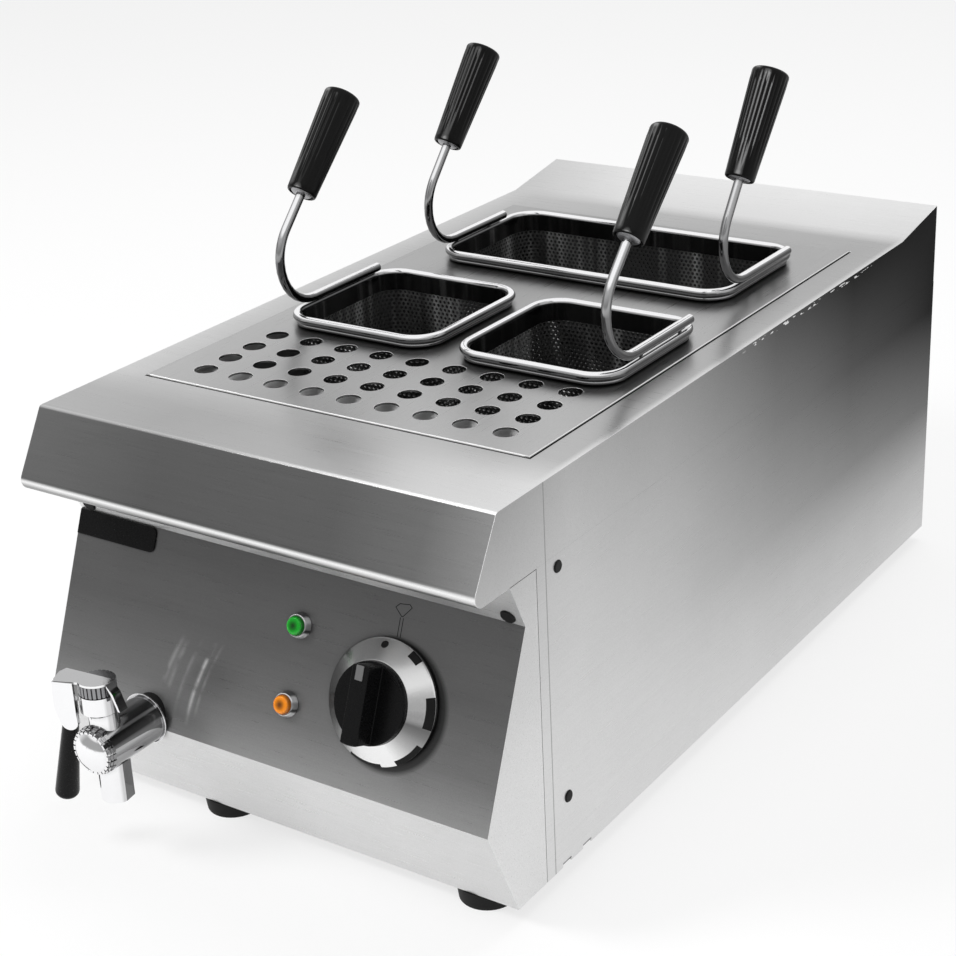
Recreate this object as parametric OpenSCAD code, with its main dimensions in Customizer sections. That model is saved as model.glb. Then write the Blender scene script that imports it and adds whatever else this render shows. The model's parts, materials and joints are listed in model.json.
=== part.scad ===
// Counter-top electric pasta cooker: a sheet-steel casing round a water well, a lift-out cover plate with
// drain holes, three perforated baskets with upright grips, a control panel with a knob and two lamps,
// and a lever tap that empties the well.
// Y is counted from the worktop's front edge and Z from its top face. placed() carries both to the part's
// frame: origin on the table, in the middle of the width, midway between the tap's nose and the gland's end.

/* [Casing] */
// Width over the side panels
body_w = 350; // [348:1:420]
// Depth from the worktop's front edge to the back
body_d = 628; // [620:1:700]
// Height of the worktop's top face above the table
deck_z = 277; // [272:1:300]
// Height of the rubber feet
foot_h = 12; // [8:1:16]
// Thickness of the sheet steel
sheet = 1.2; // [0.8:0.1:1.5]
// Gap at the seams between panels
seam = 0.4; // [0.2:0.1:0.8]

/* [Worktop] */
// Depth of the front apron and of the side flanges
apron_drop = 50.5; // [48:0.5:56]
// Radius of the apron's rolled lower edge
nose_r = 7; // [5:0.5:9]
// How far the centre of that roll stands in front of the worktop's front edge
nose_lean = 17.5; // [14:0.5:20]
// Where the rear ramp starts
ramp_y = 561; // [550:1:580]
// Height of the ramp at the back
ramp_h = 11; // [6:1:20]

/* [Control panel] */
// Depth of the panel's top edge behind the worktop's front edge
panel_top_y = 24.2; // [22:0.1:26]
// Height of the panel's top edge below the worktop
panel_drop = 81.5; // [80:0.5:84]
// Slope of the panel, measured from upright
panel_tilt = 22.4; // [20:0.1:24]
// Length of the sloping face
panel_len = 126.2; // [124:0.1:128]
// Knob centre across the panel
knob_x = 88.5; // [70:0.5:100]
// Knob centre down the slope
knob_s = 66; // [60:1:70]
// Diameter of the knob's metal skirt
knob_d = 78; // [68:1:80]
// Lamps across the panel
lamp_x = 18.3; // [10:0.1:25]
// Both lamps down the slope
lamp_s = [35.6, 85.3]; // [20:0.1:100]
// Diameter of a lamp's chrome bezel
lamp_d = 16.4; // [13:0.1:18]

/* [Cover plate and well] */
// Width of the lift-out cover plate
plate_w = 300; // [298:1:302]
// Front and rear edges of the cover plate
plate_y = [73.3, 520]; // [70:0.1:525]
// Height of the cover plate above the worktop
plate_rise = 1; // [0.5:0.1:2]
// Diameter of the drain holes
drain_d = 16; // [12:0.5:18]
// Depth of the water well below the worktop
well_depth = 175; // [172:1:178]

/* [Baskets] */
// Outside width and depth of a small basket's rim
small_basket = [126, 126]; // [120:1:128]
// Outside width and depth of the large basket's rim
large_basket = [246, 126]; // [120:1:250]
// Depth of the baskets below the cover plate
basket_depth = 150; // [120:1:151]
// Radius of the rim wires
wire_r = 3; // [2.5:0.1:3]
// Radius of the grip rods
rod_r = 3.25; // [2.5:0.05:3.5]
// Length of a grip
grip_len = 78; // [60:1:90]

/* [Drain tap] */
// Tap axis across the body
tap_x = -89.5; // [-95:0.5:-80]
// Height of the tap's axis below the worktop
tap_drop = 193; // [192:0.5:194]
// Distance of the tap's rounded nose in front of the worktop's front edge
tap_out = 80.5; // [80:0.5:84]
// Radius of the tap's barrel
barrel_r = 16; // [15:0.5:16.5]

/* [Hidden] */
$fn = 48;

steel = "#b9bcbf";
steel_dark = "#8d9093";
chrome = "#d8dadc";
black = "#1b1b1c";
cut = 1;                                 // how far a cutting solid runs past the face that it opens

gland_out = 11;                          // how far the cable gland stands out of the back
front_y = (tap_out - body_d - gland_out) / 2;
bottom_z = foot_h - deck_z;              // underside of the casing, below the worktop's top face

// Apron: a small bend at the top edge, a slanted face, a rolled nose and a short return
edge_r = 3;
apron_return_y = 12;
nose_z = -apron_drop + nose_r;
face_angle = atan2(nose_lean, -nose_z) + asin(nose_r / norm([nose_lean, nose_z]));
face_normal = 180 - face_angle;          // both in the Y-Z plane, the first measured from upright

// Control panel: a top flange under the apron, the sloping face, and a kick that runs back to the bottom
panel_top = [panel_top_y, -panel_drop];
panel_down = [-sin(panel_tilt), -cos(panel_tilt)];
panel_foot = panel_top + panel_len * panel_down;
kick_y = 5;
flange_y = 10;
side_seam_y = 37.5;
flush_gap = 0.05;                        // where a side panel meets the worktop's flange
panel_profile = [[flange_y, -apron_drop - seam], panel_top, panel_foot, [kick_y, bottom_z]];
sheet_y = sheet / cos(panel_tilt);       // the panel's thickness measured along Y
flange_tilt = atan2(panel_top[0] - flange_y, -panel_top[1] - apron_drop);

// Well: a shallow shelf under the plate's front rows, then the deep part
pocket_gap = 0.8;
ledge_z = -5;
well_w = 280;
well_y = [84, 510];
shelf_y = 126;
shelf_z = [-6.5, -8];

// Plugs and screws of the side and back panels, and the supply cable's entry
plug_places = [[60.5, -58.6], [64.7, -217.6]];
back_screw_places = [for (x = [-160, 160], z = [-65, -155, -250]) [x, z]];
gland_at = [110, -225];

// Drain holes
hole_rows = 4;
hole_cols = 9;
hole_pitch = [29.6, 24.9];
hole_x = -1.4;                           // the plate's pattern sits a little left of the middle
hole_y = 98.4;

// Baskets: centre and rim size
left_basket = [[-67, 251], small_basket];
right_basket = [[77.5, 246], small_basket];
rear_basket = [[3, 424], large_basket];
// Rods: how far one lies inboard of the rim's side wire, the middle of its forward bend, its lean back from
// upright, its lean to the right, its rear end, and its pegs; the places are counted from the rim's front
left_rod = [4, 31.4, 42.4, 1.5, 107, [41.5, 86.5]];
right_rod = [-0.7, 33.5, 44.4, 0.1, 108, [43, 94.5]];
rear_left_rod = [3.6, 18.9, 37, 4.7, 88.5, [26, 70.5]];
rear_right_rod = [-4.1, 29.4, 31.7, 2.8, 99.8, [38, 59, 81.5]];
rim_r = 24;                              // outer corner radius of a rim
wall = 1;                                // thickness of a basket's wall
weld = 0.1;                              // how far welded pieces run into each other
basket_gap = 1.3;
rim_gap = 0.3;                           // between the lower rim wire and the cover plate
low_wire_r = 1.8;                        // the thinner ring under a rim's wire
rim_z = [low_wire_r + rim_gap, low_wire_r + rim_gap + 4.7];
rod_sides = 16;
bow_r = 34.2;                            // the rod's first bend, from level to upright
lean_r = 32.3;                           // the rod's second bend, from upright to leaning back
reach = 27.5;                            // straight run from that bend to the grip
rod_in_grip = 40;
peg_r = 1.2;
peg_rise = 2.4;                          // how far the pegs hold a rod off the rim's wire
grip_r = [10.6, 13.1];                   // grip radius at its lower and upper end

// Tap, front to back: nose with its knurled edge, barrel, rose and washer; distances along Y and Z
tap_z = -tap_drop;
shank_r = 13.2;
nose_len = 11.2;
nose_y = nose_len - tap_out;
rose_r = 17.5;
rose_y = [-24, -25.3];
washer_r = 14.2;
boss_y = -62.2;
boss_r = 12.4;
boss_base = -168;
neck_r = 9.8;
neck_back = 2;                           // how far behind the boss's axis the neck stands
spout_y = -57;
spout_r = 10.8;
spout_flats = 19.8;                      // width across the spout's two flats
spout_turn = 9;
spout_end = -233;
bore_r = 7;
spindle_r = 4;
running_gap = 0.06;
lever_z = [-154, -146, -144.5];          // underside of the ribbed cap, its top, and the arm's top
boss_top = lever_z[0] - 0.4;
cap_r = 12.2;
flap_at = [-20.8, -18.3];                // front left corner of the lever's arm, from the lever's axis
flap_turn = 18.4;
crank_at = [-13.7, -12.1];               // where the flap's crank to the handle starts
elbow_end = [-26.8, -1.8, -184];
handle_len = 59;
handle_lean = 12.9;
pipe_r = 13;
pipe_wall = 2;
pipe_y = 140;
elbow_r = 16;
pipe_end_y = 8;
tail_y = 30;

// Heating element: nested hairpins that enter through the well's front wall
element_x = 30;
element_z = -160;
element_r = 4.25;
hairpins = [12, 28, 44];
element_y = [106, 450];
element_plate = [124, 30];
gasket_t = 2;
flange_t = 3;
stud_at = [54, 10];
wall_face_y = shelf_y - sheet;

// Lamps and knob, heights above the panel's face
lens_r = 6.2;
knob_gap = 1.2;
skirt_h = 13;
grip_disc_r = 25.3;
shaft_r = 3;
regulator = [46, 50, 34];

// Feet: the front left one stands inboard of the tap
feet_at = [[-65, 24], [140, 24], [-140, 595], [140, 595]];
foot_r = 20;
screw_r = 3;

function arc(c, r, a0, a1, n = 8) = [for (i = [0:n]) c + r * [cos(a0 + (a1 - a0) * i / n),
    sin(a0 + (a1 - a0) * i / n)]];

// Corner points of a rectangle with rounded corners, centred
function rounded(w, d, r) = [for (q = [0:3]) each arc([(q == 0 || q == 3 ? 1 : -1) * (w / 2 - r),
    (q < 2 ? 1 : -1) * (d / 2 - r)], r, q * 90, q * 90 + 90)];

module placed() { translate([0, front_y, deck_z]) children(); }

// Extrudes an outline given in (y, z) across the width
module across(w) { rotate([90, 0, 90]) translate([0, 0, -w / 2]) linear_extrude(w) children(); }

// Local frame on the control panel: Z out of the face, Y up the slope
module on_panel(x, s) {
    translate([x, panel_top[0] + s * panel_down[0], panel_top[1] + s * panel_down[1]])
        rotate([90 - panel_tilt, 0, 0]) children();
}

// Turns a piece made along +Z so that it points to the front
module to_front() { rotate([90, 0, 0]) children(); }

// The worktop's cross-section; inset gives the inside of the sheet
function worktop_outline(inset) = let (edge_c = [edge_r * tan((90 - face_angle) / 2), -edge_r],
    nose_c = [-nose_lean, nose_z]) concat(
    arc(edge_c, edge_r - inset, 90, face_normal, 4),
    arc(nose_c, nose_r - inset, face_normal, 270),
    inset == 0
        ? [[body_d, -apron_drop], [body_d, ramp_h], [ramp_y, 0]]
        : [[apron_return_y, -apron_drop + inset], [apron_return_y, -apron_drop - cut],
            [body_d - inset, -apron_drop - cut], [body_d - inset, ramp_h - inset], [ramp_y, -inset]]);

module plate_area(margin, z0, z1) {
    translate([-plate_w / 2 - margin, plate_y[0] - margin, z0])
        cube([plate_w + 2 * margin, plate_y[1] - plate_y[0] + 2 * margin, z1 - z0]);
}

module worktop() {
    color(steel) placed() difference() {
        across(body_w) polygon(worktop_outline(0));
        across(body_w - 2 * sheet) polygon(worktop_outline(sheet));
        plate_area(pocket_gap, -sheet - cut, cut);
    }
}

module well_profile(t) {
    polygon([[well_y[0] - t, cut], [well_y[0] - t, shelf_z[0] - t], [shelf_y - t, shelf_z[1] - t],
        [shelf_y - t, -well_depth - t], [well_y[1] + t, -well_depth - t], [well_y[1] + t, cut]]);
}

module tank() {
    color(steel) placed() difference() {
        union() {
            plate_area(14, -2 * sheet, -sheet);
            plate_area(pocket_gap + sheet, ledge_z - sheet, -sheet);
            intersection() {
                across(well_w + 2 * sheet) well_profile(sheet);
                translate([-body_w, -cut, -2 * well_depth])
                    cube([2 * body_w, body_d, 2 * well_depth - sheet]);
            }
        }
        plate_area(pocket_gap, ledge_z, cut);
        across(well_w) well_profile(0);
        translate([tap_x, pipe_y, -well_depth - 2 * sheet]) cylinder(r = pipe_r - pipe_wall, h = 4 * sheet);
        for (x = hairpins, side = [-1, 1]) translate([element_x + side * x, shelf_y + sheet, element_z])
            to_front() cylinder(r = element_r + 0.35, h = 4 * sheet);
    }
}

module control_panel() {
    back = side_seam_y;
    color(steel_dark) placed() difference() {
        across(body_w) polygon(concat(panel_profile, [[back, bottom_z], [back, -apron_drop - seam]]));
        across(body_w - 2 * sheet) polygon(concat(
            [[back + cut, -apron_drop + cut], [flange_y + sheet_y, -apron_drop + cut]],
            [for (p = panel_profile) p + [sheet_y, 0]],
            [[kick_y + sheet_y, bottom_z - cut], [back + cut, bottom_z - cut]]));
        on_panel(knob_x, knob_s) translate([0, 0, -5]) cylinder(r = 5.2, h = 10);
        for (s = lamp_s) on_panel(lamp_x, s) translate([0, 0, -5]) cylinder(r = 5.6, h = 10);
        translate([tap_x, 0, tap_z]) to_front() cylinder(r = shank_r + 0.6, h = 40);
        for (x = [-1, 1]) plug_place(x) translate([0, 0, -5]) cylinder(r = 4, h = 10);
    }
}

// Low on the panel's top flange, near each end
module plug_place(side) {
    drop = 0.83;
    translate([side * (body_w / 2 - 10), flange_y + drop * (panel_top[0] - flange_y),
        -apron_drop + drop * (panel_top[1] + apron_drop)]) rotate([90 + flange_tilt, 0, 0]) children();
}

module side_panel() {
    x1 = body_w / 2;
    y0 = side_seam_y + seam;
    top = -apron_drop - flush_gap;
    difference() {
        union() {
            translate([x1 - sheet, y0, bottom_z]) cube([sheet, body_d - y0, top - bottom_z]);
            translate([x1 - 12, y0, bottom_z + 20]) cube([12, sheet, top - bottom_z - 21]);
        }
        for (p = plug_places) translate([x1 - 5, p[0], p[1]]) rotate([0, 90, 0]) cylinder(r = 3.2, h = 10);
        for (y = [56, 80]) translate([x1 - 5, y, bottom_z - cut]) cube([10, 10, 3 + cut]);
    }
}

module left_side_panel() { color(steel) placed() mirror([1, 0, 0]) side_panel(); }

module right_side_panel() { color(steel) placed() side_panel(); }

module back_panel() {
    color(steel) placed() difference() {
        translate([-body_w / 2 + sheet, body_d - sheet, bottom_z])
            cube([body_w - 2 * sheet, sheet, -apron_drop - seam - bottom_z]);
        for (x = [-100:20:20], z = [-110, -135]) translate([x, body_d - 5, z]) cube([12, 10, 4]);
        translate([gland_at[0], body_d + 5, gland_at[1]]) to_front() cylinder(r = 8.2, h = 10);
        for (p = back_screw_places) translate([p[0], body_d + 5, p[1]]) to_front() cylinder(r = 2.2, h = 10);
    }
}

module base_tray() {
    w = body_w - 2 * sheet - 2 * seam;
    y0 = kick_y + sheet_y + seam;
    d = body_d - sheet - seam - y0;
    color(steel) placed() difference() {
        translate([-w / 2, y0, bottom_z]) cube([w, d, 14]);
        translate([-w / 2 + sheet, y0 - cut, bottom_z + sheet]) cube([w - 2 * sheet, d + 2 * cut, 14]);
        translate([-w / 2 - cut, y0 - cut, bottom_z + sheet]) cube([w + 2 * cut, side_seam_y + 4 - y0, 14]);
        for (p = feet_at) translate([p[0], p[1], bottom_z - cut]) cylinder(r = screw_r + 0.2, h = 5);
        for (x = [-60:20:60], y = [300, 330]) translate([x, y, bottom_z - cut]) cube([6, 22, 5]);
    }
}

module feet() {
    color(black) placed() for (p = feet_at) translate([p[0], p[1], -deck_z]) difference() {
        cylinder(r1 = foot_r - 1.5, r2 = foot_r, h = foot_h);
        translate([0, 0, -cut]) cylinder(r = 6, h = 5 + cut);
        cylinder(r = screw_r, h = foot_h + cut);
    }
}

module foot_screws() {
    color(chrome) placed() for (p = feet_at) translate([p[0], p[1], -deck_z]) {
        translate([0, 0, 2.5]) cylinder(r = 5, h = 2.5);
        translate([0, 0, 5]) cylinder(r = screw_r, h = foot_h + 3);
        translate([0, 0, foot_h + sheet]) difference() {
            cylinder(r = 5.5, h = 4.5, $fn = 6);
            translate([0, 0, -cut]) cylinder(r = screw_r, h = 7);
        }
    }
}

// Bare plate in the panel's upper left corner
module badge_plate() {
    badge = [68, 17];
    r = 4;
    color(black) placed() on_panel(-body_w / 2, 0) linear_extrude(1.2) polygon(concat(
        [[0.5, -badge[1]]], arc([badge[0] - r, -badge[1] + r], r, 270, 360, 4),
        arc([badge[0] - r, -r - 0.5], r, 0, 90, 4), [[0.5, -0.5]]));
}

module panel_plugs() {
    color(black) placed() for (x = [-1, 1]) plug_place(x) {
        translate([0, 0, -3]) cylinder(r = 3.9, h = 3.2);
        translate([0, 0, 0.1]) cylinder(r1 = 5.2, r2 = 4.5, h = 1.2);
    }
}

module side_plugs() {
    color(black) placed() for (side = [-1, 1], p = plug_places)
        translate([side * body_w / 2, p[0], p[1]]) rotate([0, side * 90, 0]) {
            translate([0, 0, -4]) cylinder(r = 3.1, h = 4.1);
            cylinder(r1 = 4.2, r2 = 3.4, h = 1);
        }
}

module back_screws() {
    color(chrome) placed() for (p = back_screw_places) translate([p[0], body_d, p[1]]) rotate([-90, 0, 0]) {
        translate([0, 0, -8]) cylinder(r = 2, h = 8);
        cylinder(r1 = 4, r2 = 3, h = 1.8);
    }
}

module false_bottom() {
    w = well_w - 8;
    y0 = shelf_y + 4;
    d = well_y[1] - 4 - y0;
    z = -basket_depth + plate_rise - 5;
    color(steel) placed() {
        translate([0, y0 + d / 2, z]) linear_extrude(1.5) difference() {
            square([w, d], center = true);
            for (x = [-5:5], y = [-7:7]) translate([x * 23, y * 25]) circle(r = 7);
        }
        for (x = [-1, 1], y = [0.12, 0.88]) translate([x * (w / 2 - 6), y0 + y * d, -well_depth])
            cylinder(r = 4, h = z + well_depth);
    }
}

module hairpin(half_w) {
    for (side = [-1, 1]) translate([side * half_w, element_y[1], 0])
        to_front() cylinder(r = element_r, h = element_y[1] - element_y[0]);
    translate([0, element_y[1], 0]) rotate_extrude(angle = 180) translate([half_w, 0]) circle(r = element_r);
    for (side = [-1, 1]) translate([side * half_w, element_y[0], 0]) to_front() cylinder(r = 1.8, h = 8);
}

module heating_element() {
    color(steel_dark) placed() translate([element_x, 0, element_z]) for (w = hairpins) hairpin(w);
}

module element_sheet(t, leg_r, stud_r) {
    to_front() linear_extrude(t) difference() {
        square(element_plate, center = true);
        for (x = hairpins, side = [-1, 1]) translate([side * x, 0]) circle(r = leg_r);
        for (x = [-1, 1], z = [-1, 1]) translate([x * stud_at[0], z * stud_at[1]]) circle(r = stud_r);
    }
}

module element_gasket() {
    color(black) placed() translate([element_x, wall_face_y, element_z])
        element_sheet(gasket_t, element_r + 0.3, screw_r + 0.2);
}

module element_flange() {
    color(chrome) placed() translate([element_x, wall_face_y - gasket_t, element_z])
        element_sheet(flange_t, element_r, screw_r + 0.2);
}

// Studs welded to the well, each with its nut
module element_nuts() {
    color(chrome) placed() for (x = [-1, 1], z = [-1, 1])
        translate([element_x + x * stud_at[0], wall_face_y, element_z + z * stud_at[1]]) to_front() {
            cylinder(r = screw_r, h = gasket_t + flange_t + 7);
            translate([0, 0, gasket_t + flange_t]) difference() {
                cylinder(r = 5.5, h = 4.5, $fn = 6);
                translate([0, 0, -cut]) cylinder(r = screw_r, h = 7);
            }
        }
}

module pipe_ring() { difference() { circle(r = pipe_r); circle(r = pipe_r - pipe_wall); } }

module drain_pipe() {
    top = -well_depth - sheet;
    color(steel_dark) placed() translate([tap_x, 0, 0]) {
        translate([0, pipe_y, tap_z + elbow_r]) linear_extrude(top - tap_z - elbow_r) pipe_ring();
        translate([0, pipe_y - elbow_r, tap_z + elbow_r]) rotate([90, 0, 90]) rotate([0, 0, 270])
            rotate_extrude(angle = 90) translate([elbow_r, 0]) pipe_ring();
        translate([0, pipe_y - elbow_r, tap_z]) to_front()
            linear_extrude(pipe_y - elbow_r - pipe_end_y) pipe_ring();
    }
}

module ribbed(r, deep, ribs) {
    polygon([for (i = [0:ribs - 1]) for (p = [[-0.34, 0], [0.34, 0], [0.42, deep], [0.58, deep]])
        (r - p[1]) * [cos((i + p[0]) * 360 / ribs), sin((i + p[0]) * 360 / ribs)]]);
}

// Nose, barrel and upright boss of the tap, drilled for the water and the spindle
module tap_barrel() {
    pipe_bore = pipe_r - pipe_wall - 0.1;
    nose_r = barrel_r - 0.3;
    color(chrome) placed() translate([tap_x, 0, 0]) difference() {
        union() {
            translate([0, 0, tap_z]) rotate([90, 0, 0]) rotate_extrude() polygon(concat([[0, -tail_y],
                [pipe_bore, -tail_y], [pipe_bore, -pipe_end_y + 0.2], [shank_r, -pipe_end_y + 0.2],
                [shank_r, -rose_y[1]], [barrel_r, -rose_y[1]], [barrel_r, -nose_y]],
                [for (i = [0:9]) [nose_r * cos(i * 10), nose_len * sin(i * 10) - nose_y]]));
            for (step = [0:2])
                translate([0, nose_y + 0.5 - 0.3 * step, tap_z]) to_front() linear_extrude(2.5 + 1.7 * step)
                    ribbed(nose_r * cos(asin((1 + 2 * step) / nose_len)) + 0.7, 1.6, 22);
            translate([0, boss_y + neck_back, tap_z]) cylinder(r = neck_r, h = boss_base - tap_z + 4);
            translate([0, boss_y, 0]) rotate_extrude() polygon([[0, boss_base], [boss_r - 1.5, boss_base],
                [boss_r, boss_base + 1.5], [boss_r, boss_top], [0, boss_top]]);
        }
        translate([0, tail_y + cut, tap_z]) to_front() cylinder(r = bore_r, h = tail_y - boss_y + 6);
        translate([0, boss_y, tap_z]) cylinder(r = spindle_r + running_gap, h = boss_top - tap_z + cut);
        translate([0, spout_y, spout_end]) cylinder(r = bore_r + 1.5, h = tap_z - spout_end);
    }
}

// Rose on the barrel in front of the panel
module tap_collar() {
    color(chrome) placed() translate([tap_x, rose_y[0], tap_z]) to_front()
        linear_extrude(rose_y[0] - rose_y[1]) difference() { circle(r = rose_r); circle(r = shank_r); }
}

// Seal between the rose and the panel's bend
module tap_washer() {
    color(black) placed() difference() {
        translate([tap_x, -10, tap_z]) to_front() cylinder(r = washer_r, h = -rose_y[0] - 10);
        across(body_w) polygon(concat(panel_profile, [[30, bottom_z], [30, -apron_drop]]));
        translate([tap_x, 0, tap_z]) to_front() cylinder(r = shank_r, h = 60);
    }
}

module tap_spout() {
    tube_r = bore_r + 1.5;
    color(chrome) placed() translate([tap_x, 0, 0]) difference() {
        union() {
            difference() {
                translate([0, spout_y, spout_end]) rotate([0, 0, spout_turn])
                    linear_extrude(tap_z - spout_end - 4) intersection() {
                        circle(r = spout_r);
                        square([spout_flats, 3 * spout_r], center = true);
                    }
                translate([0, 0, tap_z]) to_front() cylinder(r = barrel_r + 0.3, h = tap_out);
            }
            translate([0, spout_y, spout_end + 4]) cylinder(r = tube_r, h = tap_z - spout_end - 12);
        }
        translate([0, spout_y, spout_end - cut]) cylinder(r = bore_r, h = tap_z - spout_end + 2 * cut);
    }
}

module lamp_bezel(s) {
    r = lamp_d / 2;
    placed() on_panel(lamp_x, s) rotate_extrude() polygon([[lens_r + 0.05, 0], [r, 0], [r, 1.2],
        [r - 0.9, 4.4], [r - 1.4, 5], [lens_r + 0.05, 5]]);
}

module lamp_lens(s) {
    placed() on_panel(lamp_x, s) rotate_extrude() polygon(concat([[0, 0], [lens_r, 0], [lens_r, 5.6]],
        arc([lens_r - 2.7, 5.6], 2.7, 0, 90, 5), [[0, 8.3]]));
}

module green_lamp_bezel() { color(chrome) lamp_bezel(lamp_s[0]); }

module amber_lamp_bezel() { color(chrome) lamp_bezel(lamp_s[1]); }

module green_lamp_lens() { color("#21a045") lamp_lens(lamp_s[0]); }

module amber_lamp_lens() { color("#f08a1d") lamp_lens(lamp_s[1]); }

// Lamp bodies behind the panel, with their blade terminals
module lamp_holders() {
    color(black) placed() for (s = lamp_s) on_panel(lamp_x, s) {
        translate([0, 0, -20]) cylinder(r = 5.5, h = 20);
        translate([0, 0, -sheet - 3]) cylinder(r = 7.5, h = 3);
        for (x = [-2.5, 2.5]) translate([x - 0.4, -1.6, -27]) cube([0.8, 3.2, 7]);
    }
}

module energy_regulator() {
    front = -sheet - 0.5;
    color("#4b4d52") placed() on_panel(knob_x, knob_s) difference() {
        union() {
            translate([-regulator[0] / 2, -regulator[1] / 2, front - regulator[2]]) cube(regulator);
            translate([0, 0, front]) cylinder(r = 5, h = -front);
            for (x = [-12, 0, 12]) translate([x - 0.4, -3, front - regulator[2] - 8]) cube([0.8, 6, 8]);
        }
        translate([0, 0, front - 30]) cylinder(r = shaft_r + running_gap, h = 40);
        for (y = [-1, 1]) translate([0, y * 14, front - 8]) cylinder(r = 1.9, h = 12);
    }
}

module regulator_screws() {
    color(chrome) placed() on_panel(knob_x, knob_s) for (y = [-1, 1]) translate([0, y * 14, 0])
        translate([0, 0, -sheet - 7]) cylinder(r = 1.8, h = 6.5);
}

// Over-temperature cut-out on the base tray, with its two terminals
module safety_cutout() {
    color(black) placed() translate([20, 62, bottom_z + sheet]) {
        translate([-22, -14, 0]) cube([44, 28, 24]);
        translate([0, 0, 24]) cylinder(r = 6, h = 8);
        for (x = [-14, 14]) translate([x - 3, 14, 8]) cube([6, 7, 0.8]);
    }
}

module terminal_block() {
    color("#d9d6cc") placed() translate([110, 560, bottom_z + sheet]) difference() {
        translate([-30, -11, 0]) cube([60, 22, 20]);
        for (x = [-20, 0, 20]) translate([x, 0, 8]) cylinder(r = 3, h = 20);
        for (x = [-20, 0, 20]) translate([x, 20, 5]) to_front() cylinder(r = 2.2, h = 40);
    }
}

// Strain-relief gland for the supply cable
module cable_gland() {
    color(black) placed() translate([gland_at[0], body_d, gland_at[1]]) rotate([-90, 0, 0]) difference() {
        union() {
            translate([0, 0, -16]) cylinder(r = 8, h = 16);
            translate([0, 0, -sheet - 5]) cylinder(r = 12, h = 5, $fn = 6);
            cylinder(r = 12, h = 5, $fn = 6);
            translate([0, 0, 5]) cylinder(r1 = 10.5, r2 = 8, h = gland_out - 5);
        }
        translate([0, 0, -17]) cylinder(r = 5.5, h = 40);
    }
}

// Opening of a basket in the cover plate
module basket_cutout(b) {
    translate(b[0]) polygon(rounded(b[1][0] - 4 * wire_r + 2 * basket_gap,
        b[1][1] - 4 * wire_r + 2 * basket_gap, rim_r - 2 * wire_r + basket_gap));
}

module cover_plate() {
    t = 1.5;
    size = [plate_w, plate_y[1] - plate_y[0]];
    centre = [0, (plate_y[0] + plate_y[1]) / 2];
    color(steel) placed() {
        translate([0, 0, plate_rise - t]) linear_extrude(t) difference() {
            translate(centre) square(size, center = true);
            for (i = [0:hole_cols - 1], j = [0:hole_rows - 1])
                translate([hole_x + (i - (hole_cols - 1) / 2) * hole_pitch[0], hole_y + j * hole_pitch[1]])
                    circle(d = drain_d);
            for (b = [left_basket, right_basket, rear_basket]) basket_cutout(b);
        }
        translate([0, 0, ledge_z + 0.1]) linear_extrude(plate_rise - t - ledge_z - 0.1) difference() {
            translate(centre) square(size, center = true);
            translate(centre) square(size - [2 * t, 2 * t], center = true);
        }
    }
}

module at_basket(b) {
    placed() translate([b[0][0], b[0][1], plate_rise]) children();
}

function wall_size(b) = [b[1][0] - 4 * wire_r + 2 * weld, b[1][1] - 4 * wire_r + 2 * weld];

module basket_shell(b) {
    s = wall_size(b);
    r = rim_r - 2 * wire_r;
    at_basket(b) difference() {
        translate([0, 0, -basket_depth]) linear_extrude(basket_depth + rim_z[1])
            polygon(rounded(s[0], s[1], r));
        translate([0, 0, wall - basket_depth]) linear_extrude(basket_depth + 2 * rim_z[1])
            polygon(rounded(s[0] - 2 * wall, s[1] - 2 * wall, r - wall));
    }
}

// One closed ring of wire round a rim
module wire_ring(w, d, r, wire) {
    for (q = [0:3]) rotate([0, 0, q * 90]) {
        half = q % 2 == 0 ? [w / 2, d / 2] : [d / 2, w / 2];
        translate([half[0] - r, half[1] - r, 0]) rotate_extrude(angle = 90)
            translate([r, 0]) circle(r = wire);
        translate([half[0], half[1] - r, 0]) rotate([90, 0, 0]) cylinder(r = wire, h = 2 * (half[1] - r));
    }
}

// A thick wire with a thinner one under it; both touch the basket's wall
module basket_rim(b) {
    at_basket(b) for (ring = [[low_wire_r, rim_z[0]], [wire_r, rim_z[1]]]) {
        inset = 2 * wire_r - ring[0];
        translate([0, 0, ring[1]])
            wire_ring(b[1][0] - 2 * inset, b[1][1] - 2 * inset, rim_r - inset, ring[0]);
    }
}

// Height of a rod's level part, held just above the rim's wire
function rod_z(rod) = rim_z[1] + peg_rise + sqrt(pow(wire_r + rod_r, 2) - pow(rod[0], 2));

// Places a rod's own Y-Z plane, with Y counted from the rim's front and Z from the rod's level part
module at_rod(b, side, rod, p = [0, 0]) {
    at_basket(b) translate([side * (b[1][0] / 2 - wire_r - rod[0]), -b[1][1] / 2, rod_z(rod)])
        rotate([0, rod[3], 0]) translate([0, p[0], p[1]]) children();
}

// End of a rod's second bend, where its straight run to the grip starts
function rod_top(rod) = [rod[1] - bow_r, bow_r] + lean_r * [1 - cos(rod[2]), sin(rod[2])];

// A rod's centreline in its own plane, as points with the direction at each
function rod_line(rod) = let (lean = rod[2]) concat(
    [[[rod[4], 0], 180]],
    [for (i = [0:8]) let (a = 90 * i / 8) [[rod[1], bow_r] - bow_r * [sin(a), cos(a)], 180 - a]],
    [for (i = [1:6]) let (a = lean * i / 6)
        [[rod[1] - bow_r + lean_r, bow_r] + lean_r * [-cos(a), sin(a)], 90 - a]],
    [[rod_top(rod) + (reach + rod_in_grip) * [sin(lean), cos(lean)], 90 - lean]]);

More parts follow.
